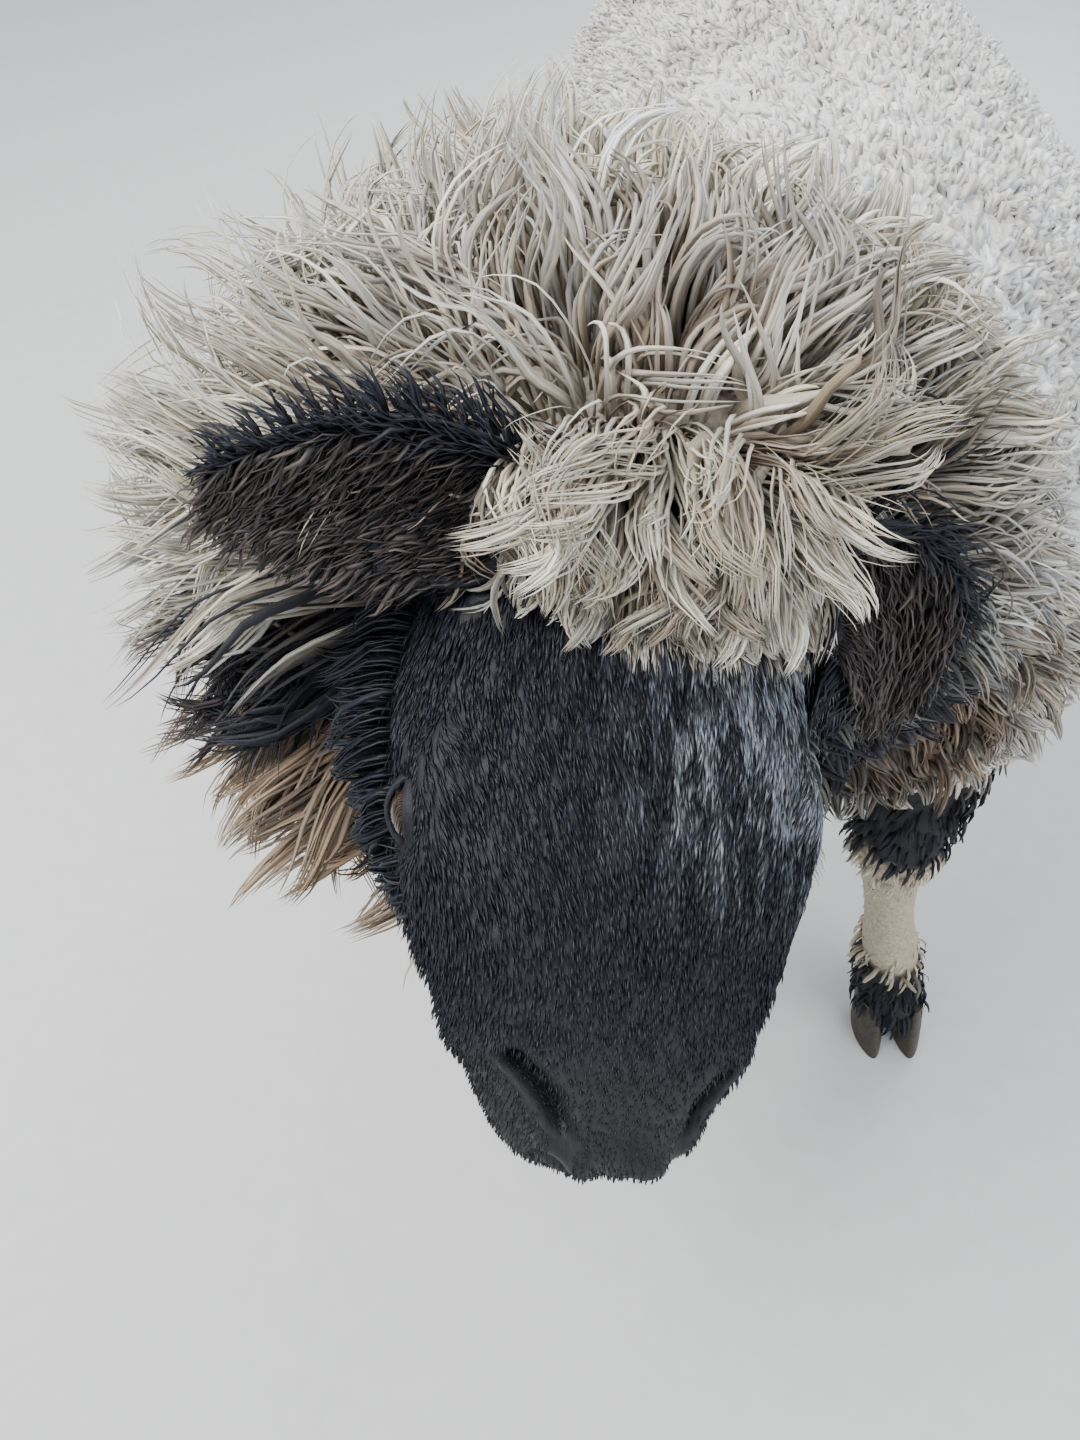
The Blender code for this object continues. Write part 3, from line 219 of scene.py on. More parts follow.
# Colours in linear light. Each root colour is darker than its tip colour: painted shade deep in the coat.
MOP_TIP = (0.80, 0.75, 0.62)
MOP_ROOT = (0.17, 0.115, 0.075)
RUFF_TIP = (0.72, 0.71, 0.66)
RUFF_ROOT = (0.30, 0.25, 0.19)
FLEECE_TIP = (0.80, 0.80, 0.79)
FLEECE_ROOT = (0.67, 0.65, 0.61)
FLEECE_STAIN = (0.47, 0.38, 0.27)
TAN_TIP = (0.38, 0.275, 0.185)
TAN_ROOT = (0.13, 0.070, 0.040)
UMBER = (0.045, 0.026, 0.018)
# Black hair with a blue cast. The black is the hair's own colour, and the blue is a painted sheen.
BLACK_TIP_BLUE_SHEEN = (0.0125, 0.0145, 0.0230)
BLACK_ROOT = (0.0055, 0.0055, 0.0070)
FROST = (0.30, 0.32, 0.37)
MUZZLE = (0.016, 0.016, 0.018)
EAR_INSIDE = (0.060, 0.048, 0.044)
BEIGE = (0.33, 0.25, 0.17)
LEG_TIP = (0.56, 0.50, 0.39)
LEG_ROOT = (0.36, 0.29, 0.20)


class HeadFrame:
    """The head's own axes: back along the nose, down from it, and to the sheep's left."""

    def __init__(self):
        level = Vector((math.sin(HEAD_YAW), math.cos(HEAD_YAW), 0.0))
        self.back = level * math.cos(HEAD_SLOPE) + UP * math.sin(HEAD_SLOPE)
        down = level * math.sin(HEAD_SLOPE) - UP * math.cos(HEAD_SLOPE)
        left = Vector((math.cos(HEAD_YAW), -math.sin(HEAD_YAW), 0.0))
        self.down = down * math.cos(HEAD_ROLL) - left * math.sin(HEAD_ROLL)
        self.left = left * math.cos(HEAD_ROLL) + down * math.sin(HEAD_ROLL)
        self.start = LIPS - self.down * LIPS_DEPTH
        self.axes = np.array((self.back, self.down, self.left))

    def at(self, s, t, u):
        return self.start + self.back * s + self.down * t + self.left * u

    def turn(self, s, t, u):
        return self.back * s + self.down * t + self.left * u

    def places(self, points):
        """Points of the sheep's frame along the head's axes, as rows of s, t and u."""
        return (points - np.array(self.start)) @ self.axes.T

    def turned(self, rows):
        """Directions given as rows of s, t and u, in the sheep's frame."""
        return rows @ self.axes

    def matrix(self, s, t, u, radii):
        axes = Matrix((self.back, self.down, self.left)).transposed().to_4x4()
        return Matrix.Translation(self.at(s, t, u)) @ axes @ Matrix.Diagonal((*radii, 1.0))


HEAD_FRAME = HeadFrame()
EYE_LOW, EYE_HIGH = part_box("eye_left")
SHIFT = np.array((EYE_LOW + EYE_HIGH) / 2 - HEAD_FRAME.at(*EYE))


# Small tools for numbers

def unit(rows):
    return rows / np.maximum(np.linalg.norm(rows, axis=-1, keepdims=True), 1e-9)


def ramp(value, low, high):
    """0 below low, 1 above high, and smooth between them; high may be the smaller one."""
    x = np.clip((value - low) / (high - low), 0.0, 1.0)
    return x * x * (3.0 - 2.0 * x)


def mixed(a, b, share):
    share = np.asarray(share)[..., None]
    return np.asarray(a) * (1.0 - share) + np.asarray(b) * share


def waves(points, size, seed):
    """Smooth value between about -1 and 1 at each point, varying over about that size."""
    draw = np.random.default_rng(seed)
    total = np.zeros(len(points))
    for _ in range(7):
        direction = unit(draw.normal(size=3)) * draw.uniform(0.6, 1.5) * 2.0 * math.pi / size
        bend = unit(draw.normal(size=3)) * draw.uniform(0.5, 1.2) * 2.0 * math.pi / size
        total += np.sin(points @ direction + draw.uniform(0, 6.3) + 1.3 * np.sin(points @ bend))
    return total / 3.2


def near(points, middle, radii, soft=0.35):
    """1 inside an ellipsoid and 0 outside, over a soft edge."""
    away = np.linalg.norm((points - np.array(middle)) / np.array(radii), axis=1)
    return ramp(away, 1.0 + soft, 1.0 - soft)


def smooth_stations(rows, extra):
    """Adds stations between those given, along a smooth curve through each column of numbers."""
    table = np.array(rows, float)
    found = []
    last = len(table) - 1
    for k in range(last):
        before, after = table[max(k - 1, 0)], table[min(k + 2, last)]
        slope_a = 0.5 * (table[k + 1] - before)
        slope_b = 0.5 * (after - table[k])
        for j in range(extra + 1):
            w = j / (extra + 1)
            found.append((2 * w**3 - 3 * w**2 + 1) * table[k] + (w**3 - 2 * w**2 + w) * slope_a
                         + (3 * w**2 - 2 * w**3) * table[k + 1] + (w**3 - w**2) * slope_b)
    found.append(table[last])
    return found


# Small tools for meshes

def placed(name, data):
    """A new object in the scene."""
    made = bpy.data.objects.new(name, data)
    bpy.context.scene.collection.objects.link(made)
    return made


def mesh_of(name, form):
    mesh = bpy.data.meshes.new(name)
    form.to_mesh(mesh)
    form.free()
    return mesh


def read_rows(vertices, field):
    """A row of three numbers for each vertex."""
    rows = np.empty(len(vertices) * 3)
    vertices.foreach_get(field, rows)
    return rows.reshape(-1, 3)


def mark(mesh, name, rows):
    """Keeps a vector for each point of the mesh, for its material to read."""
    mesh.attributes.new(name, "FLOAT_VECTOR", "POINT").data.foreach_set("vector", rows.ravel())


def paint(mesh, colour):
    """Keeps the coat's colour at each point of the mesh."""
    rows = np.ones((len(colour), 4), np.float32)
    rows[:, :3] = np.clip(colour, 0.0, 1.0)
    mesh.attributes.new("coat", "FLOAT_COLOR", "POINT").data.foreach_set("color", rows.ravel())


def add_piece(name, mesh, material, slot, *nodes):
    """Adds a piece that rides on the model's body, in the place of the solids that are named."""
    mesh.materials.append(material)
    piece = placed(name, mesh)
    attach(piece, "root")
    if nodes:
        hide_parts(*nodes)


# Forms of the skin

def loft(rings):
    """Closed skin through rings of equal counts of points, wound so that its faces point out."""
    form = bmesh.new()
    rows = [[form.verts.new(point) for point in ring] for ring in rings]
    for row, after in zip(rows, rows[1:]):
        for k in range(len(row)):
            nxt = (k + 1) % len(row)
            form.faces.new((row[k], row[nxt], after[nxt], after[k]))
    form.faces.new(rows[0][::-1])
    form.faces.new(rows[-1])
    return outward(form)


def outward(form):
    bmesh.ops.recalc_face_normals(form, faces=form.faces)
    if form.calc_volume(signed=True) < 0.0:
        bmesh.ops.reverse_faces(form, faces=form.faces)
    return form


def oval(middle, across, upward, half_width, half_height, sides, square=2.0, barrel=0.0):
    """Ring of points round an oval, squarer as square rises, and wider low down with barrel."""
    points = []
    for k in range(sides):
        angle = 2.0 * math.pi * k / sides
        x = math.copysign(abs(math.cos(angle)) ** (2.0 / square), math.cos(angle))
        y = math.copysign(abs(math.sin(angle)) ** (2.0 / square), math.sin(angle))
        x *= 1.0 - barrel * y
        points.append(middle + across * (x * half_width) + upward * (y * half_height))
    return points


def ball(matrix, around=24, rings=16):
    form = bmesh.new()
    bmesh.ops.create_uvsphere(form, u_segments=around, v_segments=rings, radius=1.0)
    bmesh.ops.transform(form, matrix=matrix, verts=form.verts)
    if matrix.determinant() < 0.0:
        bmesh.ops.reverse_faces(form, faces=form.faces)
    return form


def trunk_form():
    across = Vector((1.0, 0.0, 0.0))
    return loft([oval(Vector((0.0, y, z)), across, UP, w - SKIN_DEPTH, h - SKIN_DEPTH, 40, 2.15, 0.1)
                 for y, z, w, h in smooth_stations(TRUNK, 3)])


def neck_form():
    rows = smooth_stations([(*middle, w, h) for middle, w, h in NECK], 3)
    middles = [Vector(row[:3]) for row in rows]
    rings = []
    for k, row in enumerate(rows):
        along = (middles[max(k - 1, 0)] - middles[min(k + 1, len(rows) - 1)]).normalized()
        across = along.cross(UP).normalized()
        rings.append(oval(middles[k], across, across.cross(along), row[3] - SKIN_DEPTH,
                          row[4] - SKIN_DEPTH, 32))
    return loft(rings)


def leg_form(rows, side):
    across, along = Vector((1.0, 0.0, 0.0)), Vector((0.0, 1.0, 0.0))
    return loft([oval(Vector((side * x, y, z)), across, along, w - SKIN_DEPTH, d - SKIN_DEPTH, 20)
                 for z, x, y, w, d in smooth_stations(rows, 3)])


def tail_form():
    rows = smooth_stations([(*middle, radius) for middle, radius in TAIL], 2)
    middles = [Vector(row[:3]) for row in rows]
    across = Vector((1.0, 0.0, 0.0))
    rings = []
    for k, row in enumerate(rows):
        along = (middles[min(k + 1, len(rows) - 1)] - middles[max(k - 1, 0)]).normalized()
        radius = row[3] - SKIN_DEPTH
        rings.append(oval(middles[k], across, along.cross(across), radius, radius * 0.8, 16))
    return loft(rings)


def head_forms():
    rings = []
    for s, top, bottom, half_width in smooth_stations(HEAD, 3):
        middle = HEAD_FRAME.at(s, 0.5 * (top + bottom), 0.0)
        rings.append(oval(middle, HEAD_FRAME.left, -HEAD_FRAME.down, half_width,
                          0.5 * (bottom - top), 36, 2.25))
    forms = [loft(rings)]
    for (s, t, u), radii in FACE_PADS:
        for side in (-1, 1):
            forms.append(ball(HEAD_FRAME.matrix(s, t, side * u, radii)))
    forms.append(ball(HEAD_FRAME.matrix(*MOP_CORE[0], MOP_CORE[1])))
    return forms


def ear_section(side, w):
    """One section of an ear at share w of its length: at(share, rise), direction, inward, across."""
    first, last, facing, droop = EAR_HOLD[side]
    point = HEAD_FRAME.at(EAR_ROOT[0], EAR_ROOT[1], side * EAR_ROOT[2])
    steps = 24
    first, last = Vector(first).normalized(), Vector(last).normalized()
    direction = first
    point = point - first * EAR_SUNK
    for j in range(1, round(w * steps) + 1):
        direction = first.lerp(last, (j / steps) ** droop).normalized()
        point = point + direction * (EAR_LENGTH / steps)
    spread = math.sin(math.pi * min(0.1 + 0.86 * w**0.8, 0.985)) ** 0.75
    half = EAR_HALF_WIDTH * spread + 0.003
    curl = 1.25 - 0.75 * w
    inward = Vector(facing)
    inward = (inward - direction * inward.dot(direction)).normalized()
    across = direction.cross(inward).normalized()
    radius = half / math.sin(curl)
    hub = point + inward * (radius * math.cos(curl * 0.5))

    def at(share, rise):
        ray = across * math.sin(curl * share) - inward * math.cos(curl * share)
        return hub + ray * (radius + rise)
    return at, direction, inward, across


def ear_form(side):
    """Cupped leaf of one ear, thin towards its edges and tip."""
    rings = []
    for k in range(25):
        w = k / 24
        at = ear_section(side, w)[0]
        thick = EAR_THICKNESS * (0.92 - 0.55 * w)
        outer, inner = [], []
        for j in range(15):
            share = 2.0 * j / 14 - 1.0
            half_thick = thick * max(0.5 * math.cos(0.5 * math.pi * share) ** 0.4, 0.16)
            outer.append(at(share, half_thick))
            inner.append(at(share, -half_thick))
        rings.append(outer + inner[::-1])
    return loft(rings)


def new_object(name, form):
    bmesh.ops.triangulate(form, faces=form.faces)
    return placed(name, mesh_of(name, form))


def apply_modifiers(thing):
    bpy.context.view_layer.update()
    found = thing.evaluated_get(bpy.context.evaluated_depsgraph_get())
    mesh = bpy.data.meshes.new_from_object(found)
    thing.modifiers.clear()
    thing.data = mesh
    return thing


def combine(thing, form, operation):
    """Joins a closed form to an object, or cuts it by one."""
    other = new_object(thing.name + "_other", form)
    step = thing.modifiers.new("combine", "BOOLEAN")
    step.operation = operation
    step.object = other
    step.solver = "MANIFOLD"
    apply_modifiers(thing)
    bpy.data.objects.remove(other)
    return thing


def fuse(name, forms, voxel, turns):
    """Soft union of closed forms, by a voxel remesh."""
    whole = bmesh.new()
    for form in forms:
        mesh = mesh_of("piece", form)
        whole.from_mesh(mesh)
        bpy.data.meshes.remove(mesh)
    thing = new_object(name, whole)
    remesh = thing.modifiers.new("remesh", "REMESH")
    remesh.mode = "VOXEL"
    remesh.voxel_size = voxel
    smooth = thing.modifiers.new("smooth", "SMOOTH")
    smooth.factor = 0.5
    smooth.iterations = turns
    return apply_modifiers(thing)


def distance_to_line(points, line):
    """Distance from each point to a line of points."""
    best = np.full(len(points), 1.0)
    for a, b in zip(line, line[1:]):
        a, b = np.array(a), np.array(b)
        along = np.clip((points - a) @ (b - a) / ((b - a) @ (b - a)), 0.0, 1.0)
        best = np.minimum(best, np.linalg.norm(points - a - along[:, None] * (b - a), axis=1))
    return best


def on_surface(tree, s, t, u):
    """The place on the bare head nearest to s, t, u, along the head's axes."""
    found = tree.find_nearest(HEAD_FRAME.at(s, t, u))[0]
    return HEAD_FRAME.places(np.array(found)[None])[0]


BARE_LINES = []


def muzzle_step(local):
    """How far each place at the end of the muzzle is set back, which rounds it from above."""
    return 0.019 * np.minimum(np.abs(local[:, 2]) / 0.045, 1.2) ** 2 * ramp(local[:, 0], 0.05, 0.0)


def sculpt_face(head):
    """Carves nostrils, lips, folds and the hollows round the eyes into the head."""
    mesh = head.data
    points, normals = read_rows(mesh.vertices, "co"), read_rows(mesh.vertices, "normal")
    tree = BVHTree.FromPolygons([v.co for v in mesh.vertices], [tuple(p.vertices) for p in mesh.polygons])
    local = HEAD_FRAME.places(points)
    points = points + muzzle_step(local)[:, None] * np.array(HEAD_FRAME.back)
    mirror = local.copy()
    mirror[:, 2] = np.abs(local[:, 2])
    s, t, u = mirror.T
    out = np.zeros(len(points))

    nostril = [on_surface(tree, *row) for row in smooth_stations(NOSTRIL, 3)]
    away = distance_to_line(mirror, nostril)
    out -= 0.0095 * ramp(away, 0.0062, 0.0012) * (0.35 + 0.65 * ramp(s, 0.008, 0.02))
    out += 0.002 * np.exp(-((away - 0.0085) / 0.0032) ** 2) * ramp(s, 0.05, 0.036)

    mouth = [on_surface(tree, *row) for row in smooth_stations(MOUTH_LINE, 3)]
    away = distance_to_line(mirror, mouth)
    for line, reach in ((np.array(nostril), 0.005), (np.array(mouth), 0.0042)):
        BARE_LINES.append((line + muzzle_step(line)[:, None] * (1.0, 0.0, 0.0), reach))
    corner = 0.45 + 0.55 * ramp(u, 0.016, 0.034)
    out -= 0.0052 * corner * np.exp(-(away / 0.0026) ** 2)
    out += 0.0014 * corner * np.exp(-((away - 0.0062) / 0.003) ** 2)

    front_face = ramp(s, 0.03, 0.012)
    groove = np.exp(-(u / 0.0014) ** 2) * ramp(t, 0.022, 0.03)
    out -= 0.0024 * groove * front_face * ramp(t, 0.053, 0.05)

    # hollow round the eye, then the folds and ridges near it
    eye = np.array(EYE) + (0.0, 0.0, 0.014)
    near_eye = np.linalg.norm((mirror - eye) / (0.0185, 0.014, 0.016), axis=1)
    out -= 0.0062 * np.exp(-near_eye ** 2)
    for rise, width, line in FACE_FOLDS:
        away = distance_to_line(mirror, [on_surface(tree, *place) for place in line])
        out += rise * np.exp(-(away / width) ** 2)
    out += 0.0007 * waves(points, 0.02, 3) * ramp(s, 0.02, 0.06)

    mesh.vertices.foreach_set("co", (points + normals * out[:, None]).ravel())
    mesh.update()
    form = bmesh.new()
    form.from_mesh(mesh)
    form.verts.ensure_lookup_table()
    front = [form.verts[k] for k in np.flatnonzero(local[:, 0] < 0.03)]
    for _ in range(3):
        bmesh.ops.smooth_vert(form, verts=front, factor=0.5,
                              use_axis_x=True, use_axis_y=True, use_axis_z=True)
    form.to_mesh(mesh)
    form.free()
    return head


def eye_axes(side):
    """Middle of one eyeball, the way it looks, the way to its front corner, and up."""
    s, t, u = EYE_AXIS
    look = HEAD_FRAME.turn(s, t, side * u).normalized()
    front = HEAD_FRAME.turn(-0.96, 0.26, 0.0)
    front = (front - look * front.dot(look)).normalized()
    upward = look.cross(front).normalized()
    if upward.dot(HEAD_FRAME.down) > 0.0:
        upward = -upward
    return HEAD_FRAME.at(EYE[0], EYE[1], side * EYE[2]), look, front, upward


def lid_edge(front, upward, angle):
    """Edge of the open lids at an angle round the eye: tilt from the eye's axis, and the way to it."""
    x, y = math.cos(angle), math.sin(angle)
    open_x = LID_HALF * math.copysign(abs(x) ** 1.15, x)
    open_y = (LID_UPPER if y > 0.0 else LID_LOWER) * math.copysign(abs(y) ** 1.25, y)
    tilt = math.asin(min(math.hypot(open_x, open_y) / EYE_RADIUS, 0.98))
    return tilt, (front * open_x + upward * open_y).normalized()


def lid_ring(side):
    """Both lids of one eye as a closed rolled band that hugs the ball and runs out under the face."""
    middle, look, front, upward = eye_axes(side)
    count = 56
    rows = []
    for k in range(count):
        tilt, way = lid_edge(front, upward, 2.0 * math.pi * k / count)
        ring = []
        for share, rise in LID_PROFILE:
            polar = tilt + share * (LID_REACH - tilt)
            ray = look * math.cos(polar) + way * math.sin(polar)
            ring.append(middle + ray * (EYE_RADIUS + 0.0003 + rise))
        rows.append(ring)
    form = bmesh.new()
    grid = [[form.verts.new(point) for point in ring] for ring in rows]
    for k, row in enumerate(grid):
        after = grid[(k + 1) % count]
        for j in range(len(row)):
            nxt = (j + 1) % len(row)
            form.faces.new((row[j], row[nxt], after[nxt], after[j]))
    return outward(form)


def make_skin():
    """One closed skin for the whole animal, from the lips to the tip of the tail."""
    head = sculpt_face(fuse("skin", head_forms(), HEAD_VOXEL, 7))
    for side in (-1, 1):
        middle = eye_axes(side)[0]
        size = EYE_RADIUS + 0.0004
        socket = Matrix.Translation(middle) @ Matrix.Diagonal((size, size, size, 1.0))
        combine(head, ball(socket, 48, 32), "DIFFERENCE")
        combine(head, lid_ring(side), "UNION")
        combine(head, ear_form(side), "UNION")
    forms = [trunk_form(), neck_form(), tail_form()]
    for side in (-1, 1):
        forms += [leg_form(FRONT_LEG, side), leg_form(HIND_LEG, side)]
    body = fuse("body", forms, BODY_VOXEL, 5)
    form = bmesh.new()
    form.from_mesh(body.data)
    bpy.data.objects.remove(body)
    combine(head, form, "UNION")
    return head


# Where each part of the coat is

def neck_plane():
    top = np.array((0.0, *NECK_CUT_TOP))
    along = np.array((0.0, *NECK_CUT_BOTTOM)) - top
    normal = unit(np.cross(along, (1.0, 0.0, 0.0)))
    return top, normal if normal[1] > 0.0 else -normal


def ear_tree():
    """Search tree of places spread over both ears."""
    places = []
    for side in (-1, 1):
        for w in np.linspace(0.12, 1.0, 45):
            at = ear_section(side, w)[0]
            places += [at(share, 0.0) for share in np.linspace(-1.0, 1.0, 15)]
    tree = KDTree(len(places))
    for k, place in enumerate(places):
        tree.insert(place, k)
    tree.balance()
    return tree


EAR_TREE = ear_tree()


def regions(points):
    """Masks of the body's regions at the given points."""
    local = HEAD_FRAME.places(points)
    s, t, u = local.T
    (s_top, t_top), (s_low, t_low), side = HEAD_BLOCK
    back = s_top + (t - t_top) * (s_low - s_top) / (t_low - t_top)
    head = (s < back) & (np.abs(u) < side) & (s > -0.1) & (t < t_low)
    legs = np.zeros(len(points), bool)
    for start, end in LEG_SPAN.values():
        rise = LEG_CUT_HEIGHT + LEG_CUT_RISE * np.abs(points[:, 0])
        legs |= (points[:, 1] > start) & (points[:, 1] < end) & (points[:, 2] < rise)
    legs &= ~head
    ears = np.array([EAR_TREE.find(point)[2] < 0.0068 for point in points])
    top, normal = neck_plane()
    neck = ((points - top) @ normal < 0.0) & ~head & ~legs & ~ears
    tail = (points[:, 1] > TRUNK_BACK) & ~legs
    head &= ~ears
    return {"head": head, "legs": legs, "neck": neck, "tail": tail, "ears": ears,
            "trunk": ~(head | legs | neck | tail | ears), "local": local}


def under_mop(local):
    """How far a place on the head lies under the mop, from 0 to 1."""
    s, t, u = local.T
    rough = 0.005 * waves(local, 0.022, 31)
    right = np.interp(s, (0.2, 0.24, 0.28), (-0.022, -0.048, -0.092)) + rough
    left = np.interp(s, (0.2, 0.24, 0.28), (0.072, 0.078, 0.092)) + rough
    start = MOP_START[0] + rough + 0.01 * ramp(u, 0.01, 0.06)
    return (ramp(s, start - 0.006, start + 0.004) * ramp(t, 0.062, 0.05)
            * ramp(u, right - 0.003, right + 0.003) * ramp(u, left + 0.003, left - 0.003))


def dark_wool(roots, ends):
    """Shares of black, of umber and of tan in the neck's wool, by where the tips of its locks are."""
    # The black patches under the ears are partly black wool and partly painted shadow under the ears and
    # cheeks.
    black = near(ends, (-0.288, -0.45, 0.67), (0.046, 0.095, 0.09))
    black = np.maximum(black, near(0.5 * (roots + ends), (-0.31, -0.455, 0.625), (0.048, 0.09, 0.04)))
    for middle, radii in (((-0.332, -0.455, 0.625), (0.048, 0.085, 0.045)),
                          ((-0.04, -0.445, 0.7), (0.036, 0.06, 0.105)),
                          ((-0.02, -0.43, 0.57), (0.075, 0.095, 0.09)),
                          ((0.01, -0.4, 0.5), (0.07, 0.095, 0.085))):
        black = np.maximum(black, near(ends, middle, radii))
    umber = near(ends, (-0.378, -0.435, 0.622), (0.052, 0.095, 0.048))
    tan = near(ends, (-0.335, -0.46, 0.52), (0.145, 0.12, 0.073), 0.25)
    tan = np.maximum(tan, 0.55 * near(ends, (0.07, -0.39, 0.52), (0.1, 0.11, 0.08), 0.5))
    return black, umber, tan


def colours(points, ends):
    """Colour of the coat at its root and tip for points of the skin, with the ends of their locks."""
    where = regions(points)
    local = where["local"]
    broad = waves(points, 0.16, 11)
    fine = waves(points, 0.035, 12)
    tip, root = FLEECE_TIP, FLEECE_ROOT

    def lay(tip_colour, root_colour, share):
        """Lays a marking over those below it."""
        nonlocal tip, root
        tip, root = mixed(tip, tip_colour, share), mixed(root, root_colour, share)

    low = ramp(points[:, 2], 0.5, 0.4)
    stain = np.clip(0.28 * ramp(broad + 0.5 * fine, 0.35, 1.2) + 0.5 * low, 0.0, 0.8)
    lay(FLEECE_STAIN, np.array(FLEECE_STAIN) * 0.7, stain)

    neck = where["neck"] * ramp(ruff_fullness(points), 0.0, 0.3)
    grey = ramp(broad + 0.4 * fine, -0.6, 1.0)
    lay(mixed(RUFF_TIP, MOP_TIP, 1.0 - grey), RUFF_ROOT, neck)
    # Painted shadow: near the mop, the ruff's tips are mottled beige and its roots dark brown, as shade
    # where the mop meets the ruff.
    parting_shadow = near(ends, (-0.16, -0.405, 0.825), (0.09, 0.065, 0.06), 0.5) * neck
    parting_shadow = parting_shadow * ramp(fine + 0.4 * broad, -0.7, 0.5)
    tip = mixed(tip, BEIGE, 0.7 * parting_shadow)
    root = mixed(root, MOP_ROOT, 0.9 * parting_shadow)
    black, umber, tan = dark_wool(points, ends)
    for share, tip_colour, root_colour in ((umber, np.array(UMBER) * 1.6, UMBER),
                                           (black, BLACK_TIP_BLUE_SHEEN, BLACK_ROOT), (tan, TAN_TIP, TAN_ROOT)):
        share = np.clip(share + 0.25 * fine * (share > 0.02) * (share < 0.98), 0.0, 1.0) * neck
        lay(tip_colour, root_colour, share)

    legs = where["legs"].astype(float)
    cream = legs * ramp(points[:, 2], 0.43, 0.34)
    lay(LEG_TIP, LEG_ROOT, cream)
    ragged = 0.008 * fine
    patch = ramp(points[:, 2], FOOT_PATCH + 0.006, FOOT_PATCH - 0.006)
    for which, (knee_low, knee_high) in KNEE_PATCH.items():
        here = (points[:, 1] > 0.0) == (which == "hind")
        band = ramp(points[:, 2] + ragged, knee_low - 0.006, knee_low + 0.004)
        band *= ramp(points[:, 2] + ragged, knee_high + 0.01, knee_high - 0.006)
        patch = np.maximum(patch, band * here)
    lay(BLACK_TIP_BLUE_SHEEN, BLACK_ROOT, patch * legs)
    lay(MOP_TIP, RUFF_ROOT, where["tail"].astype(float))

    # the face's streaks run along the nose, frosted on its left and below the mop
    s, t, u = local.T
    along = local * (0.1, 1.0, 1.0)
    streak = waves(along, 0.009, 21) + 0.9 * waves(along, 0.0026, 22)
    frost = ramp(u, -0.04, 0.045) * ramp(s, 0.08, 0.16) * ramp(t, 0.08, 0.03)
    face_tip = mixed(BLACK_TIP_BLUE_SHEEN, FROST, np.clip(frost * (0.3 + 0.85 * streak), 0.0, 0.95))
    rim = ramp(s, 0.18, 0.2) * ramp(t, 0.05, 0.03) * 0.5 * ramp(u, -0.05, -0.015)
    face_tip = mixed(face_tip, FROST, np.clip(rim * (0.4 + streak), 0.0, 0.6))
    face_tip = mixed(face_tip, MUZZLE, ramp(s, 0.052, 0.03))
    mop = under_mop(local)
    lay(mixed(face_tip, MOP_TIP, mop), mixed(BLACK_ROOT, MOP_ROOT, mop), where["head"].astype(float))
    lay(BLACK_TIP_BLUE_SHEEN, BLACK_ROOT, where["ears"].astype(float))
    return root, tip


# Tufts

class Skin:
    """The finished skin's points, faces and normals, with searches on it."""

    def __init__(self, thing):
        mesh = thing.data
        mesh.calc_loop_triangles()
        self.points = read_rows(mesh.vertices, "co")
        self.normals = read_rows(mesh.vertices, "normal")
        self.faces = np.empty(len(mesh.loop_triangles) * 3, np.int32)
        mesh.loop_triangles.foreach_get("vertices", self.faces)
        self.faces = self.faces.reshape(-1, 3)
        self.tree = BVHTree.FromPolygons([Vector(p) for p in self.points], self.faces.tolist())
        a, b, c = (self.points[self.faces[:, k]] for k in range(3))
        self.areas = 0.5 * np.linalg.norm(np.cross(b - a, c - a), axis=1)
        self.middles = (a + b + c) / 3.0

    def scatter(self, mask, spacing, seed, density=None):
        """Even random roots on the masked faces, about that far apart, with their normals."""
        draw = np.random.default_rng(seed)
        weights = self.areas * mask
        if density is not None:
            weights = weights * density
        total = weights.sum()
        count = int(4.0 * total / spacing ** 2)
        which = draw.choice(len(weights), count, p=weights / total)
        r1, r2 = np.sqrt(draw.uniform(size=count)), draw.uniform(size=count)
        w = np.stack((1.0 - r1, r1 * (1.0 - r2), r1 * r2), axis=1)[:, :, None]
        corners = self.faces[which]
        points = (self.points[corners] * w).sum(axis=1)
        normals = unit((self.normals[corners] * w).sum(axis=1))
        cells = np.floor(points / spacing).astype(np.int64)
        key = cells[:, 0] * 73856093 ^ cells[:, 1] * 19349663 ^ cells[:, 2] * 83492791
        _, first = np.unique(key, return_index=True)
        first.sort()
        return points[first], normals[first]


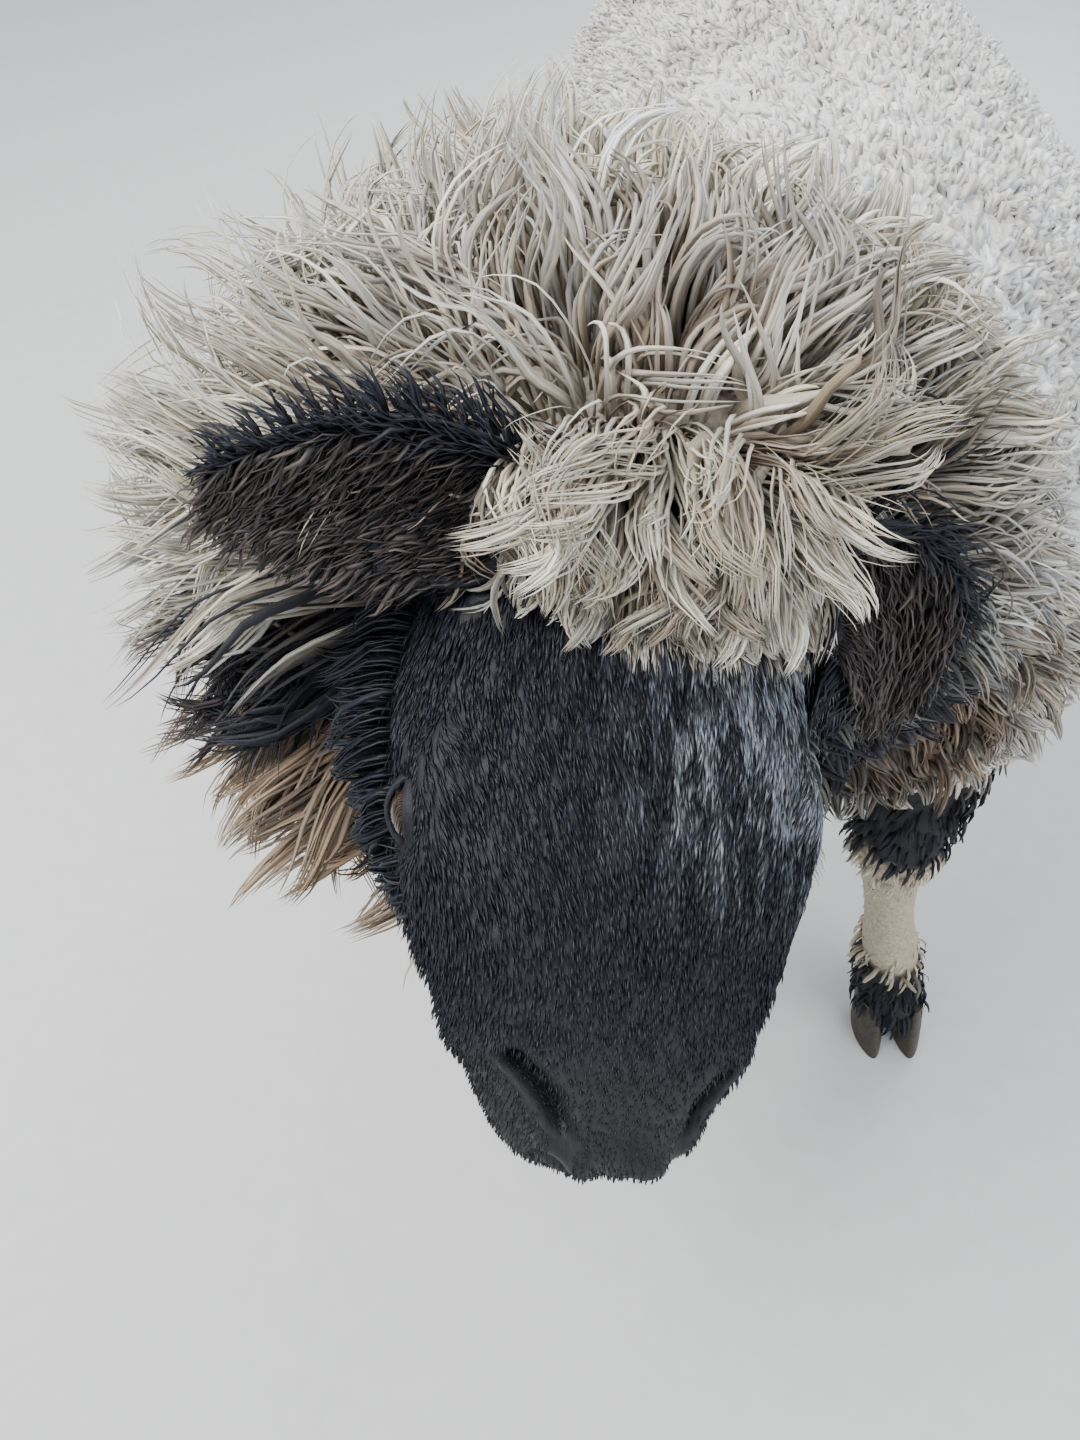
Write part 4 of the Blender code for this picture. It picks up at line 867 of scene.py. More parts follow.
def grow(roots, outs, lies, lengths, rings, lift, droop, wave, wavelength, phase, sink=0.003, curl=None):
    """Bending lines of the tufts: points as (tuft, step, 3), each line leaving the skin and sagging."""
    fine = rings * 3
    t = np.linspace(0.0, 1.0, fine + 1)
    count = len(roots)
    outs, lies = unit(outs), unit(lies)
    side = unit(np.cross(lies, outs) + 1e-4)
    lines = np.empty((count, fine + 1, 3))
    point = roots - outs * sink
    lines[:, 0] = point
    droop = np.broadcast_to(droop, count)
    for k in range(1, fine + 1):
        w = t[k - 1]
        heading = outs * (lift * (1.0 - w) ** 1.4)[:, None] + lies * (0.35 + 0.9 * w)
        heading = heading - np.array(UP) * (droop * w)[:, None]
        if curl is not None:
            heading = heading + (side * curl[:, :1] + outs * curl[:, 1:]) * w ** 1.5
        heading = unit(heading)
        point = point + heading * (lengths / fine)[:, None]
        lines[:, k] = point
    crest = unit(np.cross(side, heading))
    turn = 2.0 * math.pi * lengths[:, None] * t[None] / wavelength[:, None] + phase[:, None]
    size = wave[:, None] * (ramp(t, 0.0, 0.35) * (0.7 + 0.5 * t))[None]
    lines += side[:, None] * (np.sin(turn) * size)[:, :, None]
    lines += crest[:, None] * (0.7 * np.cos(turn) * size)[:, :, None]
    kept = np.round((1.0 - (1.0 - np.arange(rings + 1) / rings) ** 1.35) * fine).astype(int)
    return lines[:, kept]


def keep_outside(lines, tree, clearance):
    """Lifts the lines' points out of the skin, more towards their tips."""
    count, steps, _ = lines.shape
    for k in range(1, steps):
        need = clearance * k / (steps - 1)
        for i in range(count):
            point = Vector(lines[i, k])
            place, normal = tree.find_nearest(point, 0.05)[:2]
            if place is None:
                continue
            height = (point - place).dot(normal)
            if height < need:
                lines[i, k] = point + normal * (need - height)
    return lines


def clumped(lines, roots, guides, guide_roots, share, power=0.7):
    """Draws each line to its nearest guide, more towards the tip."""
    finder = KDTree(len(guide_roots))
    for k, place in enumerate(guide_roots):
        finder.insert(place, k)
    finder.balance()
    nearest = np.array([finder.find(place)[1] for place in roots])
    t = np.linspace(0.0, 1.0, lines.shape[1])[None, :, None]
    offset = (roots - guide_roots[nearest])[:, None] * (1.0 - 0.8 * t)
    pull = share[:, None, None] * t ** power
    return lines * (1.0 - pull) + (guides[nearest] + offset) * pull, nearest


# Width of a tuft along its length, the OFBake map's patches, and the most triangles in one piece
TAPER = ((0.0, 0.15, 0.55, 0.8, 1.0), (0.8, 1.0, 0.92, 0.66, 0.15))
UV_CELLS = 300
UV_PATCH = 0.003
UV_MARGIN = 0.00015
PIECE_TRIANGLES = 190000


def patches(places, cells):
    """Gives each tuft its own cell of the unwrap, the free one nearest to its root's place."""
    home = np.clip((places * cells).astype(int), 0, cells - 1)
    taken = np.zeros((cells, cells), bool)
    found = np.empty_like(home)
    steps = [(dx, dy) for dx in range(-24, 25) for dy in range(-24, 25)]
    steps.sort(key=lambda step: step[0] ** 2 + step[1] ** 2)
    for k, (x, y) in enumerate(home):
        for dx, dy in steps:
            a, b = (x + dx) % cells, min(max(y + dy, 0), cells - 1)
            if not taken[a, b]:
                break
        taken[a, b] = True
        found[k] = a, b
    return found / cells


def coat_mesh(name, flat, gain, lines, widths, root_colours, tip_colours, unwrap):
    """Closed three-sided tapering tubes along the lines, with colours and the OFBake map."""
    count, steps, _ = lines.shape
    rings = steps - 1
    draw = np.random.default_rng(len(name) * 1009 + count)
    tangent = np.empty((count, rings, 3))
    tangent[:, 0] = lines[:, 1] - lines[:, 0]
    tangent[:, 1:] = lines[:, 2:] - lines[:, :-2]
    tangent = unit(tangent)
    first = unit(np.cross(tangent[:, 0], draw.normal(size=(count, 3)) * 0.35 + np.array((0.2, 0.3, 1.0))))
    flat_way = unit(first[:, None] - tangent * (first[:, None] * tangent).sum(axis=2, keepdims=True))
    crest = np.cross(tangent, flat_way)
    t = 1.0 - (1.0 - np.arange(rings) / rings) ** 1.35 if rings > 3 else np.arange(rings) / rings
    half = 0.5 * widths[:, None] * np.interp(t, *TAPER)[None]
    points = np.empty((count, rings * 3 + 1, 3))
    for j, angle in enumerate((90.0, 210.0, 330.0)):
        a = math.radians(angle)
        points[:, j:rings * 3:3] = (lines[:, :rings] + flat_way * (half * math.cos(a))[:, :, None]
                                    + crest * (half * flat * math.sin(a))[:, :, None])
    points[:, -1] = lines[:, -1]

    per = rings * 3 + 1
    quads, tris = [], []
    for k in range(rings - 1):
        for j in range(3):
            n = (j + 1) % 3
            quads.append((k * 3 + j, k * 3 + n, k * 3 + 3 + n, k * 3 + 3 + j))
    last = (rings - 1) * 3
    for j in range(3):
        tris.append((last + j, last + (j + 1) % 3, per - 1))
    tris.append((2, 1, 0))
    pattern = np.array([v for face in quads + tris for v in face])
    sizes = np.array([4] * len(quads) + [3] * len(tris))
    loops = (pattern[None] + np.arange(count)[:, None] * per).ravel()
    lengths = np.tile(sizes, count)

    mesh = bpy.data.meshes.new(name)
    mesh.vertices.add(count * per)
    mesh.vertices.foreach_set("co", (points.reshape(-1, 3) + SHIFT).ravel())
    mesh.loops.add(len(loops))
    mesh.loops.foreach_set("vertex_index", loops.astype(np.int32))
    mesh.polygons.add(len(lengths))
    starts = np.concatenate(([0], np.cumsum(lengths)[:-1]))
    mesh.polygons.foreach_set("loop_start", starts.astype(np.int32))
    mesh.update(calc_edges=True)
    mesh.shade_smooth()

    # Along each tuft the colour runs from the darker root colour to the tip colour: painted shade deep in
    # the coat.
    shade = np.append(np.repeat(ramp(t, 0.0, gain), 3), 1.0)
    colour = mixed(root_colours[:, None], tip_colours[:, None], np.tile(shade, (count, 1)))
    paint(mesh, colour.reshape(-1, 3))
    fibre = np.empty((count, per, 3), np.float32)
    across = np.append(np.tile((0.0, 0.5, 1.0), rings), 0.5)[None]
    fibre[:, :, 0] = across * widths[:, None] * 1100.0 + draw.uniform(0, 90, (count, 1))
    reach = np.linalg.norm(np.diff(lines, axis=1), axis=2).sum(axis=1)
    fibre[:, :, 1] = np.append(np.repeat(t, 3), 1.0)[None] * reach[:, None] * 30.0
    fibre[:, :, 2] = draw.uniform(0, 90, (count, 1))
    mark(mesh, "fibre", fibre)

    corner = patches(np.clip(unwrap, 0.0, 0.9999), UV_CELLS)
    inside = []
    for k in range(rings - 1):
        for j in range(3):
            for a, b in ((j, k), (j + 1, k), (j + 1, k + 1), (j, k + 1)):
                inside.append((0.27 * a, b / rings))
    for j in range(3):
        inside += [(0.27 * j, (rings - 1) / rings), (0.27 * (j + 1), (rings - 1) / rings),
                   (0.27 * (j + 0.5), 1.0)]
    inside += [(0.86, 0.0), (1.0, 0.0), (0.93, 0.3)]
    uv = corner[:, None] + np.array(inside)[None] * UV_PATCH + UV_MARGIN
    mesh.uv_layers.new(name="OFBake").uv.foreach_set("vector", uv.reshape(-1).astype(np.float32))
    return mesh


def add_coat(name, material, slot, along, flat, gain, *tufts):
    """Adds tufts, cut along the body into pieces small enough, from the rows that coat_mesh takes."""
    lines = tufts[0]
    triangles = len(lines) * ((lines.shape[1] - 2) * 6 + 4)
    parts = max(1, math.ceil(triangles / PIECE_TRIANGLES))
    order = np.argsort(along, kind="stable")
    for k, chosen in enumerate(np.array_split(order, parts)):
        title = name if parts == 1 else "%s_%d" % (name, k + 1)
        mesh = coat_mesh(title, flat, gain, *(rows[chosen] for rows in tufts))
        add_piece(title, mesh, material, slot)


def vary(colour, draw, spread, warm=0.04):
    """The colours with a little change in brightness and warmth from tuft to tuft."""
    light = np.exp(draw.normal(0.0, spread, (len(colour), 1)))
    tint = 1.0 + draw.normal(0.0, warm, (len(colour), 1)) * np.array((1.0, 0.2, -1.0))
    return colour * light * tint


def neck_frame(points):
    """For points of the neck: middle of the nearest section, the way back, and how far forward."""
    rows = np.array(smooth_stations([(*middle, w, h) for middle, w, h in NECK], 3))
    middles = rows[:, :3]
    backs = unit(np.gradient(middles, axis=0) * -1.0)
    away = ((points[:, None] - middles[None]) ** 2).sum(axis=2)
    along = np.abs(((points[:, None] - middles[None]) * backs[None]).sum(axis=2))
    nearest = np.argmin(along * 3.0 + np.sqrt(away), axis=1)
    return middles[nearest], backs[nearest], nearest / (len(rows) - 1)


# Unwraps of the skin's shape for the OFBake map, round the head, the body and each leg

def head_unwrap(points):
    local = HEAD_FRAME.places(points)
    angle = np.arctan2(local[:, 2], local[:, 1] - 0.05)
    return np.stack((angle / (2 * math.pi) + 0.5, local[:, 0] / 0.36), axis=1)


def body_unwrap(points):
    angle = np.arctan2(points[:, 0] + 0.25 * np.clip(-points[:, 1] - 0.15, 0.0, 0.4), points[:, 2] - 0.6)
    return np.stack((angle / (2 * math.pi) + 0.5, (points[:, 1] + 0.55) / 1.2), axis=1)


def leg_unwrap(points):
    hind = points[:, 1] > 0.0
    left = points[:, 0] > 0.0
    x = np.where(hind, 0.118, 0.105) * np.where(left, 1.0, -1.0)
    y = np.where(hind, 0.39, -0.275)
    angle = np.arctan2(points[:, 0] - x, points[:, 1] - y) / (2 * math.pi) + 0.5
    return np.stack(((hind * 2 + left + angle) / 4.0, points[:, 2] / 0.56), axis=1)


def bare_skin(local):
    """Places on the lips and in the nostrils, where no hair grows."""
    mirror = local.copy()
    mirror[:, 2] = np.abs(local[:, 2])
    bare = np.zeros(len(local), bool)
    for line, reach in BARE_LINES:
        bare |= distance_to_line(mirror, line) < reach
    return bare


def eye_distance(points):
    best = np.full(len(points), 1.0)
    for side in (-1, 1):
        best = np.minimum(best, np.linalg.norm(points - np.array(eye_axes(side)[0]), axis=1))
    return best


# Coats: a style gives each root its way to lie, its length, lift and droop

def mop_style(points, draw):
    s, _, u = HEAD_FRAME.places(points).T
    share = np.clip(u / 0.06, -1.3, 1.3)
    behind = ramp(s, 0.245, 0.295)
    last = ramp(s, 0.27, 0.31)
    spread = np.where(share > 0.0, ramp(s, 0.23, 0.262), ramp(s, 0.248, 0.285))
    aside = share * (0.38 * ramp(share, -0.6, 0.4) + 0.95 * spread)
    rows = np.stack((-1.0 + 0.9 * behind + 0.6 * last, 0.15 - 0.9 * behind - 0.3 * last, aside), axis=1)
    rows += draw.normal(size=rows.shape) * (0.1 + 0.35 * behind)[:, None]
    length = np.interp(s, (0.2, 0.214, 0.227, 0.241, 0.255, 0.268, 0.29),
                       (0.016, 0.028, 0.042, 0.058, 0.07, 0.078, 0.08))
    length *= 1.0 - 0.4 * ramp(u, 0.015, 0.065) * ramp(s, 0.255, 0.225)
    return (HEAD_FRAME.turned(rows), length * draw.uniform(0.7, 1.15, len(points)),
            draw.uniform(0.75, 1.25, len(points)), 0.2)


def ruff_fullness(points):
    """How long the wool of the neck is, from 0 at the shorn body to 1."""
    middle, _, ahead = neck_frame(points)
    high = ramp((points - middle)[:, 2], -0.06, 0.08) * ramp((points - middle)[:, 0], -0.09, 0.01)
    return ramp(ahead, 0.08 + 0.14 * high, 0.4 + 0.22 * high)


def ruff_style(points, draw):
    middle, back, ahead = neck_frame(points)
    direction = unit(points - middle)
    below = np.maximum(-direction[:, 2], 0.0)
    above = np.maximum(direction[:, 2], 0.0)
    right = np.maximum(-direction[:, 0], 0.0)
    length = draw.uniform(0.07, 0.095, len(points)) - 0.012 * above + 0.04 * right * (0.5 + 0.5 * ahead)
    length += np.where(direction[:, 0] < 0.0, 0.03, -0.02) * below
    length += (0.036 * ramp(-direction[:, 0], 0.45, 0.85) * ramp(direction[:, 2], -0.35, 0.0)
               * ramp(ahead, 0.3, 0.7))
    length -= 0.016 * above * ramp(direction[:, 0], -0.1, 0.4)
    length += 0.06 * near(points, (-0.275, -0.4, 0.59), (0.06, 0.08, 0.06))
    length *= 1.0 - 0.65 * near(points, (-0.04, -0.4, 0.59), (0.09, 0.09, 0.09))
    length *= draw.uniform(0.68, 1.08, len(points))
    length = 0.018 + (length - 0.018) * ruff_fullness(points)
    fan = direction + np.array(UP) * (0.35 * direction[:, 2:3] - 0.1)
    lie = unit(back * (0.8 - 0.75 * ahead)[:, None] + fan * 0.95)
    lie = lie + draw.normal(size=lie.shape) * (0.1 + 0.35 * above * ramp(ahead, 0.4, 0.85))[:, None]
    front = above * ramp(ahead, 0.7, 0.95) * draw.uniform(0.0, 1.5, len(points))
    lie = lie + np.array(HEAD_FRAME.back) * -front[:, None]
    return lie, length, 0.55 + 0.35 * ahead, 0.3 + 0.6 * below


def throat_style(points, draw):
    middle, _, _ = neck_frame(points)
    lie = unit(points - middle) * 0.8 + np.array((-0.85, -0.5, -0.18))
    length = draw.uniform(0.09, 0.16, len(points)) * (0.72 + 0.28 * ramp(points[:, 2], 0.7, 0.6))
    return lie, length, np.full(len(points), 0.6), 0.5


def side_style(points, draw):
    lie = np.tile((-1.0, -0.3, 0.22), (len(points), 1))
    lie[:, 2] -= 0.25 * ramp(points[:, 2], 0.71, 0.68)
    return lie, draw.uniform(0.085, 0.125, len(points)), np.full(len(points), 0.5), 0.08


def clear_of_ears(lines, bend):
    """Bends locks behind the ears, and shortens those that would still hang across their open side."""
    count, steps, _ = lines.shape
    lines = lines.copy()
    kept = np.ones(count, bool)
    for side in (-1, 1):
        start = (0.24 if side > 0 else 0.34) if bend else (0.44 if side > 0 else 0.52)
        sections = [ear_section(side, w) for w in np.linspace(start, 1.0, 14)]
        open_way = (sections[7][2] + UP * 0.9).normalized()
        raised = 0.0
        if bend and side < 0:
            raised = 0.55 if sections[7][0](1.0, 0.0).z > sections[7][0](-1.0, 0.0).z else -0.55
        middles = np.array([tuple(at(raised, 0.0)) for at, _, _, _ in sections])
        offset = lines[:, :, None] - middles[None, None]
        height = offset @ np.array(open_way)
        aside = offset - height[..., None] * np.array(open_way)
        away = np.linalg.norm(aside, axis=3)
        nearest = away.argmin(axis=2)[:, :, None]
        away = np.take_along_axis(away, nearest, axis=2)[:, :, 0]
        height = np.take_along_axis(height, nearest, axis=2)[:, :, 0]
        over = (away < 0.03) & (height > -0.008) & (height < 0.16)
        tall = over & (height > 0.055) if bend else (away < 0.034) & (height < 0.16)
        first = np.where(tall.any(axis=1), tall.argmax(axis=1), steps) - 0.6
        share = np.clip(first / (steps - 1), 0.1, 1.0)
        sink = ramp(away, 0.044, 0.026) * np.clip(height + 0.012, 0.0, 0.07) * bend
        sink *= ramp(np.arange(steps), 0.0, 1.5)[None]
        lines = lines[:, :1] + (lines - lines[:, :1]) * share[:, None, None]
        lines -= sink[..., None] * np.array(open_way) * (share > 0.99)[:, None, None]
        kept &= ~over[:, 0] & (share > 0.3)
    return lines, kept


def tail_style(points, draw):
    lie = np.tile((0.0, 0.06, -1.0), (len(points), 1))
    length = draw.uniform(0.055, 0.09, len(points)) * ramp(points[:, 2], 0.3, 0.42)
    return lie, length + 0.02, np.full(len(points), 0.45), 0.5


def cheek_style(points, draw):
    s, _, u = HEAD_FRAME.places(points).T
    rows = np.stack((np.full(len(s), -0.15), np.full(len(s), 0.75), 0.55 * np.sign(u)), axis=1)
    length = np.interp(s, (0.09, 0.12, 0.16, 0.2, 0.25, 0.3),
                       (0.009, 0.024, 0.038, 0.046, 0.052, 0.055))
    return (HEAD_FRAME.turned(rows), length * draw.uniform(0.75, 1.15, len(points)),
            draw.uniform(0.6, 1.0, len(points)), 0.45)


def trunk_style(points, draw):
    lie = np.tile((0.0, 0.6, -0.5), (len(points), 1)) + 0.3 * draw.normal(size=(len(points), 3))
    return lie, draw.uniform(0.014, 0.022, len(points)), draw.uniform(0.5, 1.1, len(points)), 0.12


def leg_style(points, draw):
    lie = np.tile((0.0, 0.08, -1.0), (len(points), 1)) + 0.2 * draw.normal(size=(len(points), 3))
    z = points[:, 2]
    length = np.interp(z, (0.02, 0.06, 0.1, 0.125, 0.21, 0.26, 0.33, 0.37, 0.44, 0.5),
                       (0.018, 0.036, 0.036, 0.009, 0.009, 0.022, 0.032, 0.028, 0.018, 0.015))
    return lie, length * draw.uniform(0.75, 1.2, len(points)), draw.uniform(0.35, 0.8, len(points)), 0.25


def face_style(points, draw):
    local = HEAD_FRAME.places(points)
    s, t, u = local.T
    sign = np.sign(u)
    down = ramp(t, 0.035, 0.085)
    inward = -0.62 * np.clip(u / 0.075, -1, 1) * ramp(s, 0.06, 0.1) * ramp(s, 0.2, 0.15) * (1.0 - down)
    rows = np.stack((-1.0 + 0.55 * down, 0.1 + 0.75 * down, inward + 0.25 * sign * down), axis=1)
    rows += 0.12 * draw.normal(size=rows.shape)
    length = np.interp(s, (0.0, 0.03, 0.06, 0.1, 0.16, 0.22),
                       (0.0022, 0.0032, 0.0065, 0.0095, 0.0125, 0.015))
    length *= 1.0 + 0.6 * down * ramp(s, 0.05, 0.12)
    length *= 0.35 + 0.65 * ramp(eye_distance(points), 0.016, 0.03)
    return (HEAD_FRAME.turned(rows), length * draw.uniform(0.75, 1.25, len(points)),
            draw.uniform(0.1, 0.3, len(points)), 0.06)


def coat(skin, name, material, slot, mask, style, unwrap, seed, *, spacing, rings, width, wave,
         wavelength, guide_spacing=0.0, share=(0.75, 0.95), clearance=0.006, flat=0.5, gain=0.85, spread=0.1,
         sink=0.003, density=None, curl=0.0, stray=0.06, tint=0.0, loose_lie=0.2, broad=0.0):
    """One region's coat: roots on the masked skin, grown in their style, clumped, coloured and built.

    Tufts are drawn to guides set at guide_spacing by the given share, apart from the stray ones.
    broad is the width of the wide locks along the guides, and tint the part of them that is beige.
    """
    draw = np.random.default_rng(seed)
    roots, normals = skin.scatter(mask, spacing, seed, density)
    lie, length, lift, droop = style(roots, draw)
    count = len(roots)
    widths = width * draw.uniform(0.65, 1.35, count)
    size = draw.uniform(0.4, 1.0, count) * wave * np.minimum(length / 0.05, 1.3)
    if guide_spacing:
        size *= 0.45
    bend = draw.normal(0.0, 0.5 * curl, (count, 2))
    lines = grow(roots, normals, lie, length, rings, lift, droop, size,
                 wavelength * draw.uniform(0.7, 1.2, count), draw.uniform(0, 6.3, count), sink, bend)
    tone = np.ones(count)
    if guide_spacing:
        guide_roots, guide_normals = skin.scatter(mask, guide_spacing, seed + 500, density)
        number = len(guide_roots)
        lie, length, lift, droop = style(guide_roots, draw)
        lie = unit(lie) + loose_lie * draw.normal(size=lie.shape)
        size = draw.uniform(0.6, 1.4, number) * wave * np.minimum(length / 0.05, 1.3)
        bend = draw.normal(0.0, curl, (number, 2)) - (0.0, 0.3 * curl)
        guides = grow(guide_roots, guide_normals, lie, length, rings, lift, droop, size,
                      wavelength * draw.uniform(0.8, 1.3, number), draw.uniform(0, 6.3, number), sink, bend)
        shares = draw.uniform(*share, count)
        loose = draw.uniform(size=count) < stray
        shares[loose] *= 0.3
        widths[loose] *= 0.45
        lines[loose] = lines[loose, :1] + (lines[loose] - lines[loose, :1]) * 0.82
        lines, nearest = clumped(lines, roots, guides, guide_roots, shares)
        if broad:
            lines = np.concatenate((lines, guide_roots[:, None] + (guides - guide_roots[:, None]) * 0.8))
            roots = np.concatenate((roots, guide_roots))
            widths = np.concatenate((widths, broad * draw.uniform(0.7, 1.3, number)))
            nearest = np.concatenate((nearest, np.arange(number)))
            count += number
        tone = np.exp(draw.normal(0.0, 0.1 + 0.5 * tint, number))[nearest]
    kept = np.ones(count, bool)
    if name in ("mop", "ruff", "cheek_hair", "throat_wool"):
        lines, kept = clear_of_ears(lines, name in ("ruff", "throat_wool"))
    if clearance:
        lines = keep_outside(lines, skin.tree, clearance)
    if name == "leg_hair":
        widths = np.minimum(widths, 0.2 * np.linalg.norm(lines[:, -1] - lines[:, 0], axis=1))
    if name == "face_hair":
        widths *= np.interp(HEAD_FRAME.places(roots)[:, 0], (0.0, 0.04, 0.1), (0.55, 0.7, 1.0))
    if rings > 6:
        for _ in range(2):
            lines[:, 1:-1] = 0.5 * lines[:, 1:-1] + 0.25 * (lines[:, :-2] + lines[:, 2:])
    root_colours, tip_colours = colours(roots, lines[:, -1])
    if tint:
        share = np.clip(draw.normal(0.0, tint * 2.0, number), 0.0, 0.6)[nearest]
        share = np.clip(share + 4.0 * tint * ramp(waves(roots, 0.07, 17), 0.2, 1.3), 0.0, 0.8)
        light = tip_colours.max(axis=1) > 0.3
        tip_colours = mixed(tip_colours, BEIGE, share * light)
    # The broad locks are painted darker, toward their root colour, as painted shade beneath the thin
    # strands.
    if broad:
        tip_colours[-number:] = mixed(root_colours[-number:], tip_colours[-number:], np.full(number, 0.6))
    tip_colours = vary(tip_colours, draw, spread) * tone[:, None]
    root_colours = vary(root_colours, draw, spread) * tone[:, None]
    roots = roots[kept]
    add_coat(name, material, slot, roots[:, 1] + 0.3 * roots[:, 2], flat, gain, lines[kept],
             widths[kept], root_colours[kept], tip_colours[kept], unwrap(roots))


def ear_coat(material):
    """Hair of both ears: short outside, softer inside, and a long fringe on the lower edge and tip."""
    draw = np.random.default_rng(77)
    roots, outs, lies, lengths, tips, bases, unwraps = [], [], [], [], [], [], []
    for side in (-1, 1):
        sections = [ear_section(side, w) for w in np.linspace(0.0, 1.0, 49)]
        low = [1.0 if at(1.0, 0.0).z < at(-1.0, 0.0).z else -1.0 for at, _, _, _ in sections]

        def add(w, share, rise, length, way, tip, base, lift):
            index = round(w * 48)
            at, direction, _, across = sections[index]
            out = at(share, rise + 0.01) - at(share, rise)
            out = out if rise >= 0 else -out
            edge = across * share * max(abs(share) - 0.75, 0.0) * 4.0
            roots.append(at(share, rise))
            outs.append((out.normalized() + edge).normalized() * lift)
            lies.append(direction * way[0] + across * low[index] * way[1] - UP * way[2])
            lengths.append(length)
            tips.append(tip)
            bases.append(base)
            face = share * 0.22 + (0.25 if rise >= 0 else 0.75)
            unwraps.append(((side * 0.5 + 0.5 + face) / 2.0, w * 0.96 + 0.02))

        for _ in range(1000):
            w, share = draw.uniform(0.06, 1.0), draw.uniform(-1.0, 1.0)
            add(w, share, 0.0022, draw.uniform(0.009, 0.016), (1.0, 0.25, 0.2), BLACK_TIP_BLUE_SHEEN, BLACK_ROOT, 0.35)
        for _ in range(1000):
            w, share = draw.uniform(0.1, 0.98), draw.uniform(-0.95, 0.95)
            way = (0.9, 0.35 + draw.normal(0.0, 0.25), 0.3)
            add(w, share, -0.0022, draw.uniform(0.012, 0.026), way, EAR_INSIDE, BLACK_ROOT, 0.5)
        for _ in range(330):
            w = draw.uniform(0.3, 1.0)
            share = draw.uniform(0.75, 1.0) if w < 0.85 else draw.uniform(-1.0, 1.0)
            share *= low[round(w * 48)]
            length = draw.uniform(0.03, 0.052) * (0.6 + 0.4 * w) * (1.0 if side > 0 else 0.45)
            add(w, share, 0.0, length, (1.0, 0.5, 0.4), BLACK_TIP_BLUE_SHEEN, BLACK_ROOT, 0.6)
        for _ in range(420):
            w = draw.uniform(0.1, 0.97)
            length = draw.uniform(0.012, 0.026) * (1.25 - 0.5 * w)
            way = (0.8, -0.5 + draw.normal(0.0, 0.35), draw.normal(0.0, 0.15))
            add(w, -low[round(w * 48)] * draw.uniform(0.7, 1.0), draw.choice((0.001, -0.001)), length,
                way, BLACK_TIP_BLUE_SHEEN, BLACK_ROOT, 0.7)
    roots, outs, lies = (np.array([tuple(p) for p in rows]) for rows in (roots, outs, lies))
    lengths = np.array(lengths)
    lift = np.linalg.norm(outs, axis=1)
    count = len(roots)
    size = 0.0016 * np.minimum(lengths / 0.03, 1.3) * draw.uniform(0.5, 1.4, count)
    lines = grow(roots, outs, lies, lengths, 4, lift, 0.35, size, 0.02 * draw.uniform(0.8, 1.2, count),
                 draw.uniform(0, 6.3, count), 0.0015)
    widths = 0.0018 * draw.uniform(0.6, 1.3, count) * np.minimum(0.7 + lengths / 0.05, 1.5)
    add_coat("ear_coat", material, "black_hair", roots[:, 0], 0.55, 0.75, lines, widths,
             vary(np.array(bases), draw, 0.1), vary(np.array(tips), draw, 0.25), np.array(unwraps))


def lashes(material):
    """Upper eyelashes of both eyes."""
    draw = np.random.default_rng(5)
    roots, outs, lies = [], [], []
    for side in (-1, 1):
        middle, look, front, upward = eye_axes(side)
        for k in range(34):
            tilt, way = lid_edge(front, upward, math.pi * (0.12 + 0.76 * k / 33))
            ray = look * math.cos(tilt) + way * math.sin(tilt)
            roots.append(middle + ray * (EYE_RADIUS + 0.0022))
            outs.append(look * 0.8 + way * 0.7)
            lies.append(upward * 0.5 + look * 0.3 - UP * 0.5 + front * 0.25)
    roots, outs, lies = (np.array([tuple(p) for p in rows]) for rows in (roots, outs, lies))
    count = len(roots)
    lines = grow(roots, outs, lies, draw.uniform(0.006, 0.0095, count), 4, np.full(count, 1.2), 0.3,
                 np.full(count, 0.0002), np.full(count, 0.02), draw.uniform(0, 6.3, count), 0.0004)
    black = np.tile(np.array(BLACK_ROOT), (count, 1))
    add_coat("eyelashes", material, "black_hair", roots[:, 0], 0.55, 0.75, lines,
             np.full(count, 0.00045), black, black, head_unwrap(roots))


# Eyes and hooves

def make_eye(side, word, material):
    """Eyeball with the bulge of its cornea, its iris and slit pupil laid out on the ball."""
    middle, look, front, upward = eye_axes(side)
    axes = Matrix((front, upward, look)).transposed().to_4x4()
    form = bmesh.new()
    bmesh.ops.create_uvsphere(form, u_segments=72, v_segments=48, radius=1.0)
    radius = EYE_RADIUS - 0.0003
    places = []
    for vert in form.verts:
        co = vert.co.copy()
        polar = math.acos(max(min(co.z, 1.0), -1.0))
        bulge = 0.0011 * max(1.0 - (polar / 0.8) ** 2, 0.0) ** 0.8
        places.append((co.x * radius, co.y * radius, co.z * radius))
        vert.co = co * (radius + bulge)
    bmesh.ops.transform(form, matrix=Matrix.Translation(middle + Vector(SHIFT)) @ axes, verts=form.verts)
    outward(form)
    mesh = mesh_of("eyeball_" + word, form)
    mesh.shade_smooth()
    mark(mesh, "ball", np.array(places))
    add_piece("eyeball_" + word, mesh, material, "eye", "eye_" + word)


